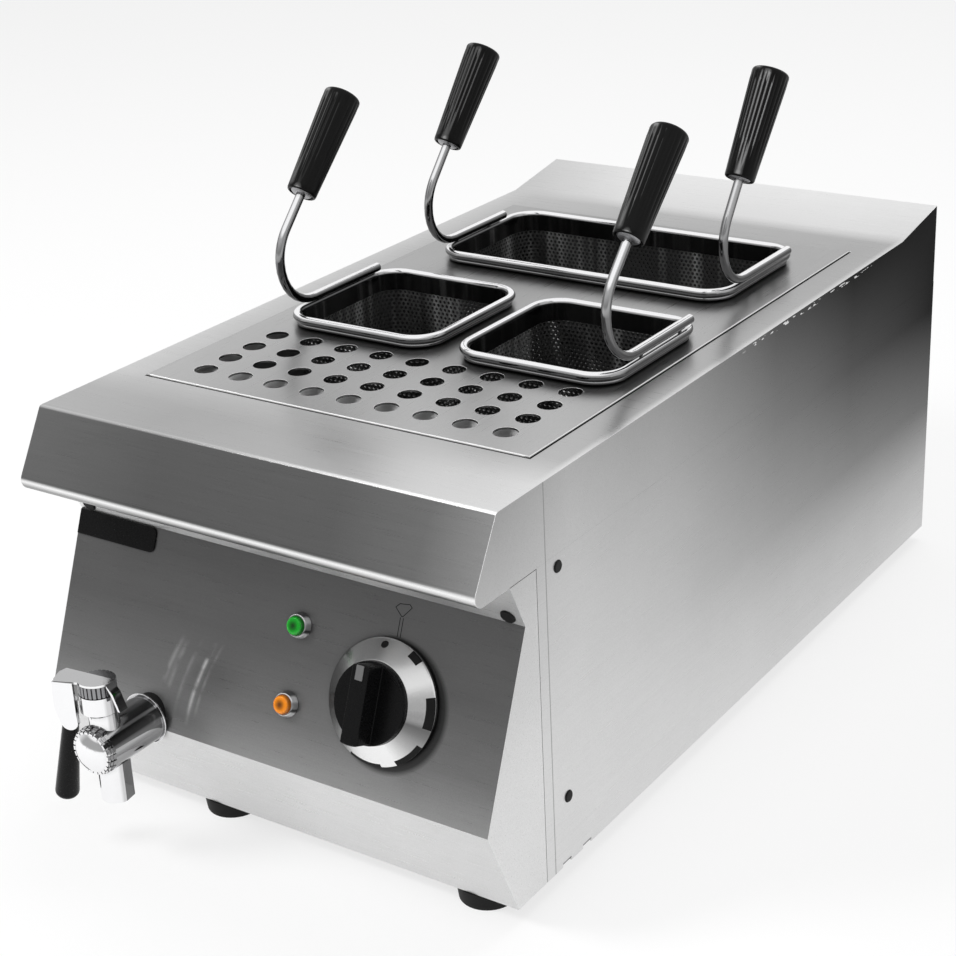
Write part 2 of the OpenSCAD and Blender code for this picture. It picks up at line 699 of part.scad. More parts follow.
// Round rod swept along a line in the Y-Z plane
module swept(line, r) {
    last = len(line) - 1;
    polyhedron(
        points = [for (p = line, k = [0:rod_sides - 1]) let (a = k * 360 / rod_sides, u = r * sin(a))
            [r * cos(a), p[0][0] - u * sin(p[1]), p[0][1] + u * cos(p[1])]],
        faces = concat(
            [[for (k = [1:rod_sides]) rod_sides - k], [for (k = [0:rod_sides - 1]) last * rod_sides + k]],
            [for (i = [0:last - 1], k = [0:rod_sides - 1])
                let (a = i * rod_sides + k, b = i * rod_sides + (k + 1) % rod_sides) each [
                    [a, b + rod_sides, a + rod_sides], [a, b, b + rod_sides]]]));
}

// Short pegs from a rod's level part to the rim's wire
module rod_pegs(b, side, rod) {
    drop = rod_z(rod) - rim_z[1];
    reach = norm([rod[0], drop]) - wire_r + weld;
    at_basket(b) for (y = rod[5])
        translate([side * (b[1][0] / 2 - wire_r - rod[0]), y - b[1][1] / 2, rod_z(rod)])
            rotate([0, -side * atan2(rod[0], drop), 0]) translate([0, 0, -reach])
                cylinder(r = peg_r, h = reach);
}

module basket_rod(b, side, rod) {
    at_rod(b, side, rod) swept(rod_line(rod), rod_r);
    rod_pegs(b, side, rod);
}

module basket_grip(b, side, rod) {
    end_r = 2.6;
    at_rod(b, side, rod, rod_top(rod)) rotate([-rod[2], 0, 0]) translate([0, 0, reach]) difference() {
        rotate_extrude() polygon(concat([[0, 0], [grip_r[0] - 1, 0], [grip_r[0], 1.5],
            [grip_r[1], grip_len - end_r - 2]], arc([grip_r[1] - end_r, grip_len - end_r], end_r, 0, 90, 5),
            [[0, grip_len]]));
        translate([0, 0, -cut]) cylinder(r = rod_r, h = rod_in_grip + cut);
    }
}

module basket_left_shell() { color(steel_dark) basket_shell(left_basket); }

module basket_left_rim() { color(chrome) basket_rim(left_basket); }

module basket_left_rod() { color(chrome) basket_rod(left_basket, -1, left_rod); }

module basket_left_grip() { color(black) basket_grip(left_basket, -1, left_rod); }

module basket_right_shell() { color(steel_dark) basket_shell(right_basket); }

module basket_right_rim() { color(chrome) basket_rim(right_basket); }

module basket_right_rod() { color(chrome) basket_rod(right_basket, 1, right_rod); }

module basket_right_grip() { color(black) basket_grip(right_basket, 1, right_rod); }

module basket_rear_shell() { color(steel_dark) basket_shell(rear_basket); }

module basket_rear_rim() { color(chrome) basket_rim(rear_basket); }

module basket_rear_rod_left() { color(chrome) basket_rod(rear_basket, -1, rear_left_rod); }

module basket_rear_rod_right() { color(chrome) basket_rod(rear_basket, 1, rear_right_rod); }

module basket_rear_grip_left() { color(black) basket_grip(rear_basket, -1, rear_left_rod); }

module basket_rear_grip_right() { color(black) basket_grip(rear_basket, 1, rear_right_rod); }

module on_knob() { placed() on_panel(knob_x, knob_s) children(); }

module knob_skirt() {
    r = knob_d / 2;
    color(chrome) on_knob() rotate_extrude() polygon([[shaft_r, knob_gap], [r, knob_gap], [r, 3.2],
        [r - 1, 4.2], [grip_disc_r + 0.5, skirt_h], [shaft_r, skirt_h]]);
}

// Black centre with a raised bar to turn it by
module knob_grip() {
    r = grip_disc_r;
    color(black) on_knob() difference() {
        union() {
            translate([0, 0, skirt_h]) cylinder(r = r, h = 4);
            intersection() {
                translate([-6, -r, skirt_h]) cube([12, 2 * r, 18]);
                translate([0, 0, skirt_h]) cylinder(r = r - 1, h = 18);
            }
        }
        translate([0, 0, skirt_h - cut]) cylinder(r = shaft_r, h = 7 + cut);
    }
}

module knob_pointer() {
    color("#c9cacb") on_knob() translate([-2.7, 15, skirt_h + 18]) cube([5.4, 9, 0.6]);
}

module knob_spindle() {
    color(chrome) on_knob() translate([0, 0, -28]) cylinder(r = shaft_r, h = skirt_h + 7 + 28);
}

module at_lever() { placed() translate([tap_x, boss_y, 0]) children(); }

module tap_spindle() {
    color(chrome) at_lever() translate([0, 0, tap_z + 6]) cylinder(r = spindle_r, h = lever_z[0] - tap_z - 6);
}

// Ribbed cap under the lever arm
module tap_lever_cap() {
    color(chrome) at_lever() translate([0, 0, lever_z[0]]) linear_extrude(lever_z[1] - lever_z[0])
        ribbed(cap_r, 0.9, 26);
}

// Arm over the cap, with a stop tab at the right, a flap at the front left, and an elbow to the handle
module tap_lever_arm() {
    top = lever_z[2];
    base = lever_z[1];
    color(chrome) at_lever() {
        translate([0, 0, base]) linear_extrude(top - base) polygon(concat([flap_at + [0.9, 0.9]],
            arc([0, 0], cap_r + 0.4, 245, 350), [[12.2, 3.2], [-25, -0.6], [-25.8, -6.4], [-22.4, -14.8]]));
        translate([0, 2.2, 0]) to_front() linear_extrude(7) polygon([[7, base + 0.4], [7, top - 0.3],
            [12.2, top - 0.3], [17.5, top - 6], [22, -161.5], [20.2, -161.5], [15.6, top - 6.6],
            [12.5, base - 0.4], [12.5, base + 0.4]]);
        translate([flap_at[0], flap_at[1], 0]) rotate([90, 0, flap_turn]) translate([0, 0, -2.2])
            linear_extrude(2.2) polygon(concat([[14, top - 0.3], [0, top - 0.3], [-0.6, -163], [1.5, -170]],
                arc([8.5, -172.5], 6, 190, 350), [[14, -168]]));
        translate([crank_at[0], crank_at[1], -176]) cylinder(r = 3.2, h = 12);
        translate([crank_at[0], crank_at[1], -175])
            rotate([0, 0, atan2(elbow_end[1] - crank_at[1], elbow_end[0] - crank_at[0])])
                translate([0, -2.8, 0]) cube([norm([elbow_end[0], elbow_end[1]] - crank_at), 5.6, 9]);
        translate(elbow_end + [0.8, 0, 0]) cylinder(r = 5.6, h = 17);
    }
}

module tap_lever_handle() {
    color(black) at_lever() translate(elbow_end) rotate([0, handle_lean, 0])
        rotate([180, 0, 0]) rotate_extrude() polygon(concat([[0, 1.3], [5.3, 1.3], [7.9, handle_len - 4]],
        arc([3.9, handle_len - 4], 4, 0, 90, 4), [[0, handle_len]]));
}

worktop();
tank();
control_panel();
left_side_panel();
right_side_panel();
back_panel();
base_tray();
feet();
foot_screws();
badge_plate();
panel_plugs();
side_plugs();
back_screws();
false_bottom();
heating_element();
element_flange();
element_gasket();
element_nuts();
drain_pipe();
tap_barrel();
tap_collar();
tap_washer();
tap_spout();
green_lamp_lens();
green_lamp_bezel();
amber_lamp_lens();
amber_lamp_bezel();
lamp_holders();
energy_regulator();
regulator_screws();
safety_cutout();
terminal_block();
cable_gland();
cover_plate();
basket_left_shell();
basket_left_rim();
basket_left_rod();
basket_left_grip();
basket_right_shell();
basket_right_rim();
basket_right_rod();
basket_right_grip();
basket_rear_shell();
basket_rear_rim();
basket_rear_rod_left();
basket_rear_rod_right();
basket_rear_grip_left();
basket_rear_grip_right();
knob_skirt();
knob_grip();
knob_pointer();
knob_spindle();
tap_spindle();
tap_lever_cap();
tap_lever_arm();
tap_lever_handle();
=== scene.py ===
import json
import math
import bmesh
import bpy
from mathutils import Matrix, Vector


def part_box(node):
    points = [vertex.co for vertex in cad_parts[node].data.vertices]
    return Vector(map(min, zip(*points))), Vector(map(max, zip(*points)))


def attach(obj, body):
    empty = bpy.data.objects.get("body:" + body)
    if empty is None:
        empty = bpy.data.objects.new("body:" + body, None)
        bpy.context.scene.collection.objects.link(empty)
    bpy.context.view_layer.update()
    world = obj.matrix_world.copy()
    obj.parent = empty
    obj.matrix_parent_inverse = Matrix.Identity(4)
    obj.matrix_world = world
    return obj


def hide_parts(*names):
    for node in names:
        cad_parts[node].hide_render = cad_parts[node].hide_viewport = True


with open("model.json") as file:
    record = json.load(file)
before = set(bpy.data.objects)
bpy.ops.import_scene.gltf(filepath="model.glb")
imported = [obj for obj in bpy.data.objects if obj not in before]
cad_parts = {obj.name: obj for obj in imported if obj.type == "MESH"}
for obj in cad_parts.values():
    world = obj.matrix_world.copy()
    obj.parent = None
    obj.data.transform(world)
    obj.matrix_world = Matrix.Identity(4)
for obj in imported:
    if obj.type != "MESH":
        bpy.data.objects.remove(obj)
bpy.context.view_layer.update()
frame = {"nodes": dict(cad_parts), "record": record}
nodes = frame["nodes"]
print("frame loaded:", len(nodes), "nodes")

mm = 0.001
deckOrigin = Vector((0.0, -0.27925, 0.277))  # middle of the worktop's front top edge


def deck(x, y, z):  # millimetres from the worktop's front edge and top face, to metres in the scene
    return deckOrigin + Vector((x, y, z)) * mm


panel = {"top": (24.2, -81.5), "tilt": 22.4}  # the sloping face's top edge in mm, and its lean in degrees
knob = {
    "x": 88.5,
    "s": 66,  # mm down the panel
    "rim": (38.0, 4.2),  # radius and height of the skirt's outer and inner edge
    "crown": (25.8, 13.0),
}


def onPanel(x, s):  # x across and s down the panel in mm; Z points out of the sloping face, Y up it
    tilt = math.radians(panel["tilt"])
    up = Vector((0, math.sin(tilt), math.cos(tilt)))
    out = Vector((0, -math.cos(tilt), math.sin(tilt)))
    turn = Matrix((Vector((1, 0, 0)), up, out)).transposed().to_4x4()
    spot = deck(x, panel["top"][0] - s * up.y, panel["top"][1] - s * up.z)
    return Matrix.Translation(spot) @ turn


def objectMode():
    if bpy.context.object and bpy.context.object.mode != "OBJECT":
        bpy.ops.object.mode_set(mode="OBJECT")


def pick(*things):
    objectMode()
    bpy.ops.object.select_all(action="DESELECT")
    for thing in things:
        thing.select_set(True)
    if things:
        bpy.context.view_layer.objects.active = things[-1]


def startEdit(piece, mode="FACE"):
    pick(piece)
    bpy.ops.object.mode_set(mode="EDIT")
    bpy.ops.mesh.select_mode(type=mode)


def choose(piece, kind, wanted):  # selects the verts, edges or faces for which wanted(item) is true
    mesh = bmesh.from_edit_mesh(piece.data)
    for group in (mesh.verts, mesh.edges, mesh.faces):
        for item in group:
            item.select = False
    for item in getattr(mesh, kind):
        if wanted(item):
            item.select_set(True)
    bmesh.update_edit_mesh(piece.data)


def newest(name):
    piece = bpy.context.object
    piece.name = name
    piece.data.name = name
    return piece


def applyModifiers(piece):
    pick(piece)
    for modifier in list(piece.modifiers):
        bpy.ops.object.modifier_apply(modifier=modifier.name)


def tidyNormals(piece):
    startEdit(piece)
    bpy.ops.mesh.select_all(action="SELECT")
    bpy.ops.mesh.remove_doubles(threshold=1e-6)
    bpy.ops.mesh.normals_make_consistent(inside=False)
    objectMode()


def smooth(piece, angle=35):
    pick(piece)
    bpy.ops.object.shade_smooth_by_angle(angle=math.radians(angle))


def place(piece, matrix):  # moves a piece's mesh to its place, and keeps its object at the origin
    piece.matrix_world = matrix
    pick(piece)
    bpy.ops.object.transform_apply(location=True, rotation=True, scale=True)


def dress(piece, finish, body, slot, *replaced):
    piece.data.materials.clear()
    piece.data.materials.append(finish)
    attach(piece, body)
    if replaced:
        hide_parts(*replaced)
    return piece


folds = {"cover_plate": 1.5}  # radius in mm of the bend round the lid
sharpAngle = 0.52  # edges that turn by more than this many radians are broken


def foldFinder(node):  # finds the edges of the outline of the top face
    low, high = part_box(node)
    ends = [(axis, end[axis]) for axis in (0, 1) for end in (low, high)]

    def wanted(edge):
        spots = [v.co for v in edge.verts]
        return (all(abs(p.z - high[2]) < 1e-5 for p in spots)
                and any(all(abs(p[axis] - end) < 1e-5 for p in spots) for axis, end in ends))
    return wanted


# a copy of a CAD node with its edges broken
def softened(node, width, wanted=lambda edge: True, smoothAngle=40):
    piece = bpy.data.objects.new(node + "Dressed", nodes[node].data.copy())
    piece.data.name = piece.name
    bpy.context.scene.collection.objects.link(piece)
    startEdit(piece)
    bpy.ops.mesh.select_all(action="SELECT")
    bpy.ops.mesh.remove_doubles(threshold=2e-6)
    bpy.ops.mesh.dissolve_limited(angle_limit=math.radians(0.6))
    if width:
        bpy.ops.mesh.select_mode(type="EDGE")
        if node in folds:
            choose(piece, "edges", foldFinder(node))
            bpy.ops.mesh.bevel(offset=folds[node] * mm, segments=3, affect="EDGES", clamp_overlap=False)
        choose(piece, "edges", lambda e: len(e.link_faces) == 2
               and e.calc_face_angle(0) > sharpAngle and wanted(e))
        bpy.ops.mesh.bevel(offset=width * mm, segments=2, affect="EDGES", clamp_overlap=True)
    objectMode()
    smooth(piece, smoothAngle)
    if width:  # flat faces stay flat beside their soft edges
        piece.modifiers.new("flatness", "WEIGHTED_NORMAL").keep_sharp = True
        applyModifiers(piece)
    return piece


def turned(name, sides, profile):  # a closed shape; profile: (height, radius) in mm, from the bottom up
    pick()
    bpy.ops.mesh.primitive_circle_add(vertices=sides, radius=profile[0][1] * mm, location=(0, 0, 0))
    piece = newest(name)
    startEdit(piece, "VERT")
    bpy.ops.mesh.select_all(action="SELECT")
    bpy.ops.transform.translate(value=(0, 0, profile[0][0] * mm))
    for (z0, r0), (z1, r1) in zip(profile, profile[1:]):
        bpy.ops.mesh.extrude_region_move(TRANSFORM_OT_translate={"value": (0, 0, (z1 - z0) * mm)})
        bpy.ops.transform.resize(value=(r1 / r0, r1 / r0, 1), center_override=(0, 0, z1 * mm))
    bpy.ops.mesh.edge_face_add()
    foot, reach = (value * mm for value in profile[0])
    choose(piece, "verts", lambda v: abs(v.co.z - foot) < 1e-7 and abs(v.co.xy.length - reach) < 1e-7
           and len(v.link_faces) < 4)
    bpy.ops.mesh.edge_face_add()
    objectMode()
    tidyNormals(piece)
    return piece


def joined(name, pieces):
    pick(*pieces)
    bpy.ops.object.join()
    return newest(name)


# camera
camera = {
    "place": (739, -823, 454),  # mm from the worktop's front edge
    "azimuth": 34.88,
    "elevation": 23.43,
    "roll": -2.74,
    "focal": 2001.4 / 956,  # in widths of the frame
    "centre": (480.1 / 956, 477.3 / 956),
}


def makeCamera(c):
    a, e, roll = (math.radians(c[k]) for k in ("azimuth", "elevation", "roll"))
    right = Vector((math.cos(a), math.sin(a), 0))
    back = Vector((math.sin(a) * math.cos(e), -math.cos(a) * math.cos(e), math.sin(e)))
    up = back.cross(right)
    tiltedRight = math.cos(roll) * right + math.sin(roll) * up
    tiltedUp = -math.sin(roll) * right + math.cos(roll) * up
    turn = Matrix((tiltedRight, tiltedUp, back)).transposed().to_4x4()
    bpy.ops.object.camera_add()
    piece = newest("photoCamera")
    piece.matrix_world = Matrix.Translation(deck(*c["place"])) @ turn
    piece.data.sensor_width = 36
    piece.data.lens = 36 * c["focal"]
    piece.data.shift_x = 0.5 - c["centre"][0]
    piece.data.shift_y = c["centre"][1] - 0.5
    piece.data.clip_start = 0.05
    piece.data.clip_end = 50
    bpy.context.scene.camera = piece


makeCamera(camera)
print("camera placed")


# materials
def startMaterial(name):
    finish = bpy.data.materials.new(name)
    finish.use_nodes = True
    return finish


def addNode(finish, kind, **values):
    item = finish.node_tree.nodes.new(kind)
    for key, value in values.items():
        if key in item.inputs:
            item.inputs[key].default_value = value
        else:
            setattr(item, key, value)
    return item


def wire(finish, source, target):
    finish.node_tree.links.new(source, target)


def shader(finish):
    return finish.node_tree.nodes["Principled BSDF"]


def maths(finish, operation, *values):
    item = addNode(finish, "ShaderNodeMath", operation=operation)
    for socket, value in zip(item.inputs, values):
        if isinstance(value, (int, float)):
            socket.default_value = value
        else:
            wire(finish, value, socket)
    return item.outputs[0]


def ramp(finish, value, stops):  # stops: (position, grey level)
    item = addNode(finish, "ShaderNodeValToRGB")
    elements = item.color_ramp.elements
    while len(elements) < len(stops):
        elements.new(0.5)
    for element, (where, level) in zip(elements, stops):
        element.position = where
        element.color = (level, level, level, 1)
    wire(finish, value, item.inputs[0])
    return item.outputs[0]


def stretch(finish, value, low, high):  # maps low..high to 0..1, held at the ends
    item = addNode(finish, "ShaderNodeMapRange", **{"From Min": low, "From Max": high, "clamp": True})
    wire(finish, value, item.inputs["Value"])
    return item.outputs["Result"]


def blendGrey(finish, factor, first, second):
    item = addNode(finish, "ShaderNodeMix", data_type="RGBA")
    for socket, value in ((item.inputs[0], factor), (item.inputs[6], first), (item.inputs[7], second)):
        if isinstance(value, (int, float)):
            socket.default_value = value if socket == item.inputs[0] else (value, value, value, 1)
        else:
            wire(finish, value, socket)
    return item.outputs[2]


def objectPlace(finish):
    return addNode(finish, "ShaderNodeTexCoord").outputs["Object"]


def axes(finish, vector):
    item = addNode(finish, "ShaderNodeSeparateXYZ")
    wire(finish, vector, item.inputs[0])
    return item.outputs


def grainNoise(finish, scale, detail=4, roughness=0.6):  # scale: cycles per metre along X, Y and Z
    mapping = addNode(finish, "ShaderNodeMapping", Scale=scale)
    wire(finish, objectPlace(finish), mapping.inputs["Vector"])
    noise = addNode(finish, "ShaderNodeTexNoise", Scale=1.0, Detail=detail, Roughness=roughness)
    wire(finish, mapping.outputs[0], noise.inputs["Vector"])
    return noise.outputs["Fac"]


steel = {
    "grainAcross": 1100,  # brush lines per metre
    "grainAlong": 20,
    "grainShare": 0.13,
    "cloud": 9,
    "cloudShare": 0.12,
    "speckle": 1700,  # fine spots per metre
    "speckleShare": 0.3,
    "depth": 0.00002,
    "tint": 0.45,
    "roughSpan": 0.16,  # how far the roughness varies
    "paleShare": 0.8,  # how far a pale edge stops being a mirror
}
plain = {"cloud": 14, "roughSpan": 0.12, "smoothest": 0.01}


def unevenness(finish, noise, share):  # a factor round 1 that varies by share
    return maths(finish, "MULTIPLY_ADD", noise, share, 1 - share / 2)


def paintedContactShade(finish, distance, floorLevel):  # painted shade: darker where another surface is near
    item = addNode(finish, "ShaderNodeAmbientOcclusion", Distance=distance)
    item.samples = 6
    return ramp(finish, item.outputs["AO"], ((0.15, floorLevel), (0.9, 1.0)))  # closed corner to open air


def multiplied(finish, colour, factor):
    mix = addNode(finish, "ShaderNodeMix", data_type="RGBA", blend_type="MULTIPLY")
    mix.inputs[0].default_value = 1.0
    for socket, value in ((mix.inputs[6], colour), (mix.inputs[7], factor)):
        if isinstance(value, tuple):
            socket.default_value = (*value, 1)
        else:
            wire(finish, value, socket)
    return mix.outputs[2]


def brushedSteel(name, tone, roughness=0.34, along="X", contrast=1.0, metallic=1.0, contactShade=None, pale=None):
    # tone is a grey level, or a function of the material that gives one from the place and the normal;
    # pale is a function that is 1 where an edge scatters light
    finish = startMaterial(name)
    body = shader(finish)
    body.inputs["Metallic"].default_value = metallic
    if pale:
        share = maths(finish, "MULTIPLY", pale(finish), steel["paleShare"])
        wire(finish, maths(finish, "SUBTRACT", metallic, share), body.inputs["Metallic"])
    body.inputs["Specular Tint"].default_value = (*[steel["tint"]] * 3, 1)
    lengths = {axis: steel["grainAcross"] for axis in "XYZ"}
    lengths[along] = steel["grainAlong"]
    grain = grainNoise(finish, tuple(lengths[a] for a in "XYZ"), 3, 0.7)
    factor = unevenness(finish, grain, steel["grainShare"] * contrast)
    for scale, share in ((steel["cloud"], steel["cloudShare"]), (steel["speckle"], steel["speckleShare"])):
        spots = unevenness(finish, grainNoise(finish, (scale,) * 3, 3, 0.6), share * contrast)
        factor = maths(finish, "MULTIPLY", factor, spots)
    # painted shade in corners and where parts touch
    if contactShade:
        factor = maths(finish, "MULTIPLY", factor, paintedContactShade(finish, *contactShade))
    base = tone(finish) if callable(tone) else (tone, tone, tone * 1.01)
    wire(finish, multiplied(finish, base, factor), body.inputs["Base Color"])
    span = steel["roughSpan"]
    wire(finish, maths(finish, "MULTIPLY_ADD", grain, span, roughness - span / 2), body.inputs["Roughness"])
    bump = addNode(finish, "ShaderNodeBump", Strength=0.3, Distance=steel["depth"])
    wire(finish, grain, bump.inputs["Height"])
    wire(finish, bump.outputs[0], body.inputs["Normal"])
    return finish


def plainFinish(name, colour, roughness, metallic=0.0, speckle=0.12, scale=900, bump=0.00003,
                shade=None, **extra):
    finish = startMaterial(name)
    body = shader(finish)
    noise = grainNoise(finish, (scale,) * 3, 4, 0.6)
    cloud = grainNoise(finish, (plain["cloud"],) * 3, 2, 0.5)
    level = maths(finish, "MULTIPLY_ADD", maths(finish, "MULTIPLY", noise, cloud), 4 * speckle, 1 - speckle)
    if shade:
        level = maths(finish, "MULTIPLY", level, shade(finish))
    wire(finish, multiplied(finish, colour, level), body.inputs["Base Color"])
    span = plain["roughSpan"]
    rough = maths(finish, "MULTIPLY_ADD", noise, span, max(roughness - span / 2, plain["smoothest"]))
    wire(finish, rough, body.inputs["Roughness"])
    body.inputs["Metallic"].default_value = metallic
    for key, value in extra.items():
        body.inputs[key.replace("_", " ")].default_value = value
    lift = addNode(finish, "ShaderNodeBump", Strength=0.4, Distance=bump)
    wire(finish, noise, lift.inputs["Height"])
    wire(finish, lift.outputs[0], body.inputs["Normal"])
    return finish


casing = {  # where its faces are, in metres
    "foot": 0.012, "top": 0.277, "front": -0.279, "back": 0.349, "half": 0.175,
    "seam": -0.2335,  # between the panel's return and the side
}


def band(finish, value, low, high, soft):  # 1 between low and high, 0 outside
    rise = stretch(finish, value, low - soft, low)
    fall = stretch(finish, value, high, high + soft)
    return maths(finish, "SUBTRACT", rise, fall)


def facingAxes(finish):
    return axes(finish, addNode(finish, "ShaderNodeNewGeometry").outputs["Normal"])


def facingToward(finish, aim):  # 1 where a surface faces along aim, 0 where it is square to it
    item = addNode(finish, "ShaderNodeVectorMath", operation="DOT_PRODUCT")
    wire(finish, addNode(finish, "ShaderNodeNewGeometry").outputs["Normal"], item.inputs[0])
    item.inputs[1].default_value = aim
    return item.outputs["Value"]


sideTones = {
    "low": 0.84,
    # front to back
    "high": ((0.0, 0.38), (0.12, 0.48), (0.3, 0.38), (0.55, 0.12), (0.75, 0.03), (1.0, 0.025)),
    # share of the high tone, foot to top
    "fallFront": ((0.0, 0.0), (0.35, 0.12), (0.7, 0.5), (1.0, 1.0)),
    "fallBack": ((0.0, 0.0), (0.22, 0.3), (0.42, 0.76), (0.72, 1.0)),
    # painted glints along the top edge: from, to and blur in metres
    "weld": 0.85, "weldHeight": (0.2735, 0.2755, 0.0004), "weldRun": (0.03, 0.21, 0.02),
    # a dark line behind the seam
    "fold": 0.16, "foldShare": 0.6, "foldRun": (0.0016, 0.0022, 0.0003),
}


def sideTone(finish):  # painted reflection: light near the table, darker towards the top and the back
    t = sideTones
    place = axes(finish, objectPlace(finish))
    # painted reflection gradient by height and depth
    height = stretch(finish, place[2], casing["foot"], casing["top"])
    depth = stretch(finish, place[1], casing["front"], casing["back"])
    fall = blendGrey(finish, depth, ramp(finish, height, t["fallFront"]), ramp(finish, height, t["fallBack"]))
    tone = blendGrey(finish, fall, t["low"], ramp(finish, depth, t["high"]))
    # painted glints: bright spots just under the top edge
    spots = maths(finish, "GREATER_THAN", grainNoise(finish, (10, 130, 500), 2, 0.5), 0.6)
    weld = maths(finish, "MULTIPLY", band(finish, place[2], *t["weldHeight"]),
                 band(finish, place[1], *t["weldRun"]))
    tone = blendGrey(finish, maths(finish, "MULTIPLY", spots, weld), tone, t["weld"])
    low, high, soft = t["foldRun"]
    fold = band(finish, place[1], casing["seam"] + low, casing["seam"] + high, soft)
    return blendGrey(finish, maths(finish, "MULTIPLY", fold, t["foldShare"]), tone, t["fold"])


def panelPlace(finish, x, s):  # how far a point is from a place on the panel: across, and up the slope
    frameTurn = onPanel(x, s)
    offset = addNode(finish, "ShaderNodeVectorMath", operation="SUBTRACT")
    wire(finish, objectPlace(finish), offset.inputs[0])
    offset.inputs[1].default_value = frameTurn.translation
    lengths = []
    for column in (0, 1):
        along = addNode(finish, "ShaderNodeVectorMath", operation="DOT_PRODUCT")
        wire(finish, offset.outputs[0], along.inputs[0])
        along.inputs[1].default_value = frameTurn.col[column].xyz
        lengths.append(along.outputs["Value"])
    return lengths


def distanceFrom(finish, x, s):
    across, upward = panelPlace(finish, x, s)
    squares = [maths(finish, "MULTIPLY", d, d) for d in (across, upward)]
    return maths(finish, "SQRT", maths(finish, "ADD", *squares))


def isSideFace(finish, facing):
    return maths(finish, "GREATER_THAN", maths(finish, "ABSOLUTE", facing[0]), 0.8)


worktopTones = {  # left to right
    "front": ((0.0, 0.64), (0.25, 0.56), (0.6, 0.6), (0.85, 0.82), (1.0, 0.9)),
    "sides": ((0.0, 0.85), (0.08, 0.75), (0.92, 0.62), (0.985, 0.62), (1.0, 0.95)),
    "rear": ((0.0, 0.8), (0.3, 1.0), (0.7, 1.0), (1.0, 0.95)),
    "apron": ((0.0, 0.3), (0.3, 0.22), (0.7, 0.23), (0.88, 0.34), (1.0, 0.6)),
    "bendHighlight": ((0.18, 0.0), (0.36, 0.5), (0.5, 1.0), (0.58, 0.5), (0.64, 0.0), (0.72, 0.0), (0.86, 0.2),
              (0.97, 0.4)),  # share of the bright tone, from what faces down to what faces up
    "bright": 0.95, "under": 0.6, "back": 0.5,
    "frontEnds": (-0.24, -0.2), "rearStarts": (0.27, 0.29),  # metres along the depth
}


def worktopTone(finish):  # painted reflections: pale on top, dark on the slanted apron; painted highlights along its bends
    t = worktopTones
    place = axes(finish, objectPlace(finish))
    facing = facingAxes(finish)
    across = stretch(finish, place[0], -casing["half"], casing["half"])
    top = blendGrey(finish, stretch(finish, place[1], *t["frontEnds"]), ramp(finish, across, t["front"]),
                    ramp(finish, across, t["sides"]))
    top = blendGrey(finish, stretch(finish, place[1], *t["rearStarts"]), top, ramp(finish, across, t["rear"]))
    # painted highlight where a bend turns from the top to the apron
    bendHighlight = ramp(finish, stretch(finish, facing[2], -1.0, 1.0), t["bendHighlight"])
    bendHighlight = maths(finish, "MAXIMUM", bendHighlight, noseHighlight(finish))
    front = blendGrey(finish, bendHighlight, ramp(finish, across, t["apron"]), t["bright"])
    front = blendGrey(finish, maths(finish, "LESS_THAN", facing[2], -0.5), front, t["under"])
    front = blendGrey(finish, maths(finish, "GREATER_THAN", facing[1], 0.5), front, t["back"])
    tone = blendGrey(finish, stretch(finish, facing[2], 0.94, 0.97), front, top)
    return blendGrey(finish, isSideFace(finish, facing), tone, sideTone(finish))


# light that the tap throws on the panel: streaks that curve up from beside its rose
glints = {
    "from": (-89.5, 120.6),  # across and down the panel in mm
    "curve": 4.0, "reach": (0.015, 0.046, 0.014), "spread": 0.04, "level": 0.75,
    "streaks": ((0.06, 0.0), (0.13, 0.3), (0.19, 0.06), (0.26, 0.22), (0.32, 0.0), (0.45, 0.0), (0.5, 0.2),
                (0.56, 0.03), (0.72, 0.02), (0.78, 1.0), (0.83, 0.1), (0.88, 0.0), (0.92, 0.28), (0.97, 0.0)),
}
panelTones = {
    "heights": (0.078, 0.196),  # of the sloping face, in metres
    "slope": ((0.0, 0.4), (0.25, 0.24), (0.6, 0.16), (1.0, 0.17)),  # foot to top
    "down": ((0.0, 0.95), (0.5, 0.85), (1.0, 0.8)),  # left to right, on faces that look down
    "shadow": (4.5, 1.5),  # mm from the knob's middle to its shadow's
    "shadowEdge": (0.0375, 0.0425), "shadowTone": 0.25,
}


def panelTone(finish):  # painted reflections: dark sloping face; flange, kick and ends catch the pale table
    t = panelTones
    place = axes(finish, objectPlace(finish))
    facing = facingAxes(finish)
    # painted reflection, lighter towards the foot of the slope
    slope = ramp(finish, stretch(finish, place[2], *t["heights"]), t["slope"])
    across, upward = panelPlace(finish, *glints["from"])
    bow = maths(finish, "MULTIPLY", maths(finish, "MULTIPLY", upward, upward), glints["curve"])
    sideways = maths(finish, "SUBTRACT", across, bow)
    streaks = ramp(finish, stretch(finish, sideways, 0.0, glints["spread"]), glints["streaks"])
    patches = stretch(finish, grainNoise(finish, (90, 90, 90), 2, 0.5), 0.35, 0.6)
    sweep = maths(finish, "MULTIPLY", patches, band(finish, upward, *glints["reach"]))
    slope = blendGrey(finish, maths(finish, "MULTIPLY", streaks, sweep), slope, glints["level"])
    away = distanceFrom(finish, knob["x"] + t["shadow"][0], knob["s"] + t["shadow"][1])
    cast = stretch(finish, away, *t["shadowEdge"])
    slope = blendGrey(finish, maths(finish, "MAXIMUM", cast, t["shadowTone"]), 0.0, slope)
    down = ramp(finish, stretch(finish, place[0], -casing["half"], casing["half"]), t["down"])
    tone = blendGrey(finish, maths(finish, "GREATER_THAN", facing[2], 0.0), down, slope)
    return blendGrey(finish, isSideFace(finish, facing), tone, sideTone(finish))


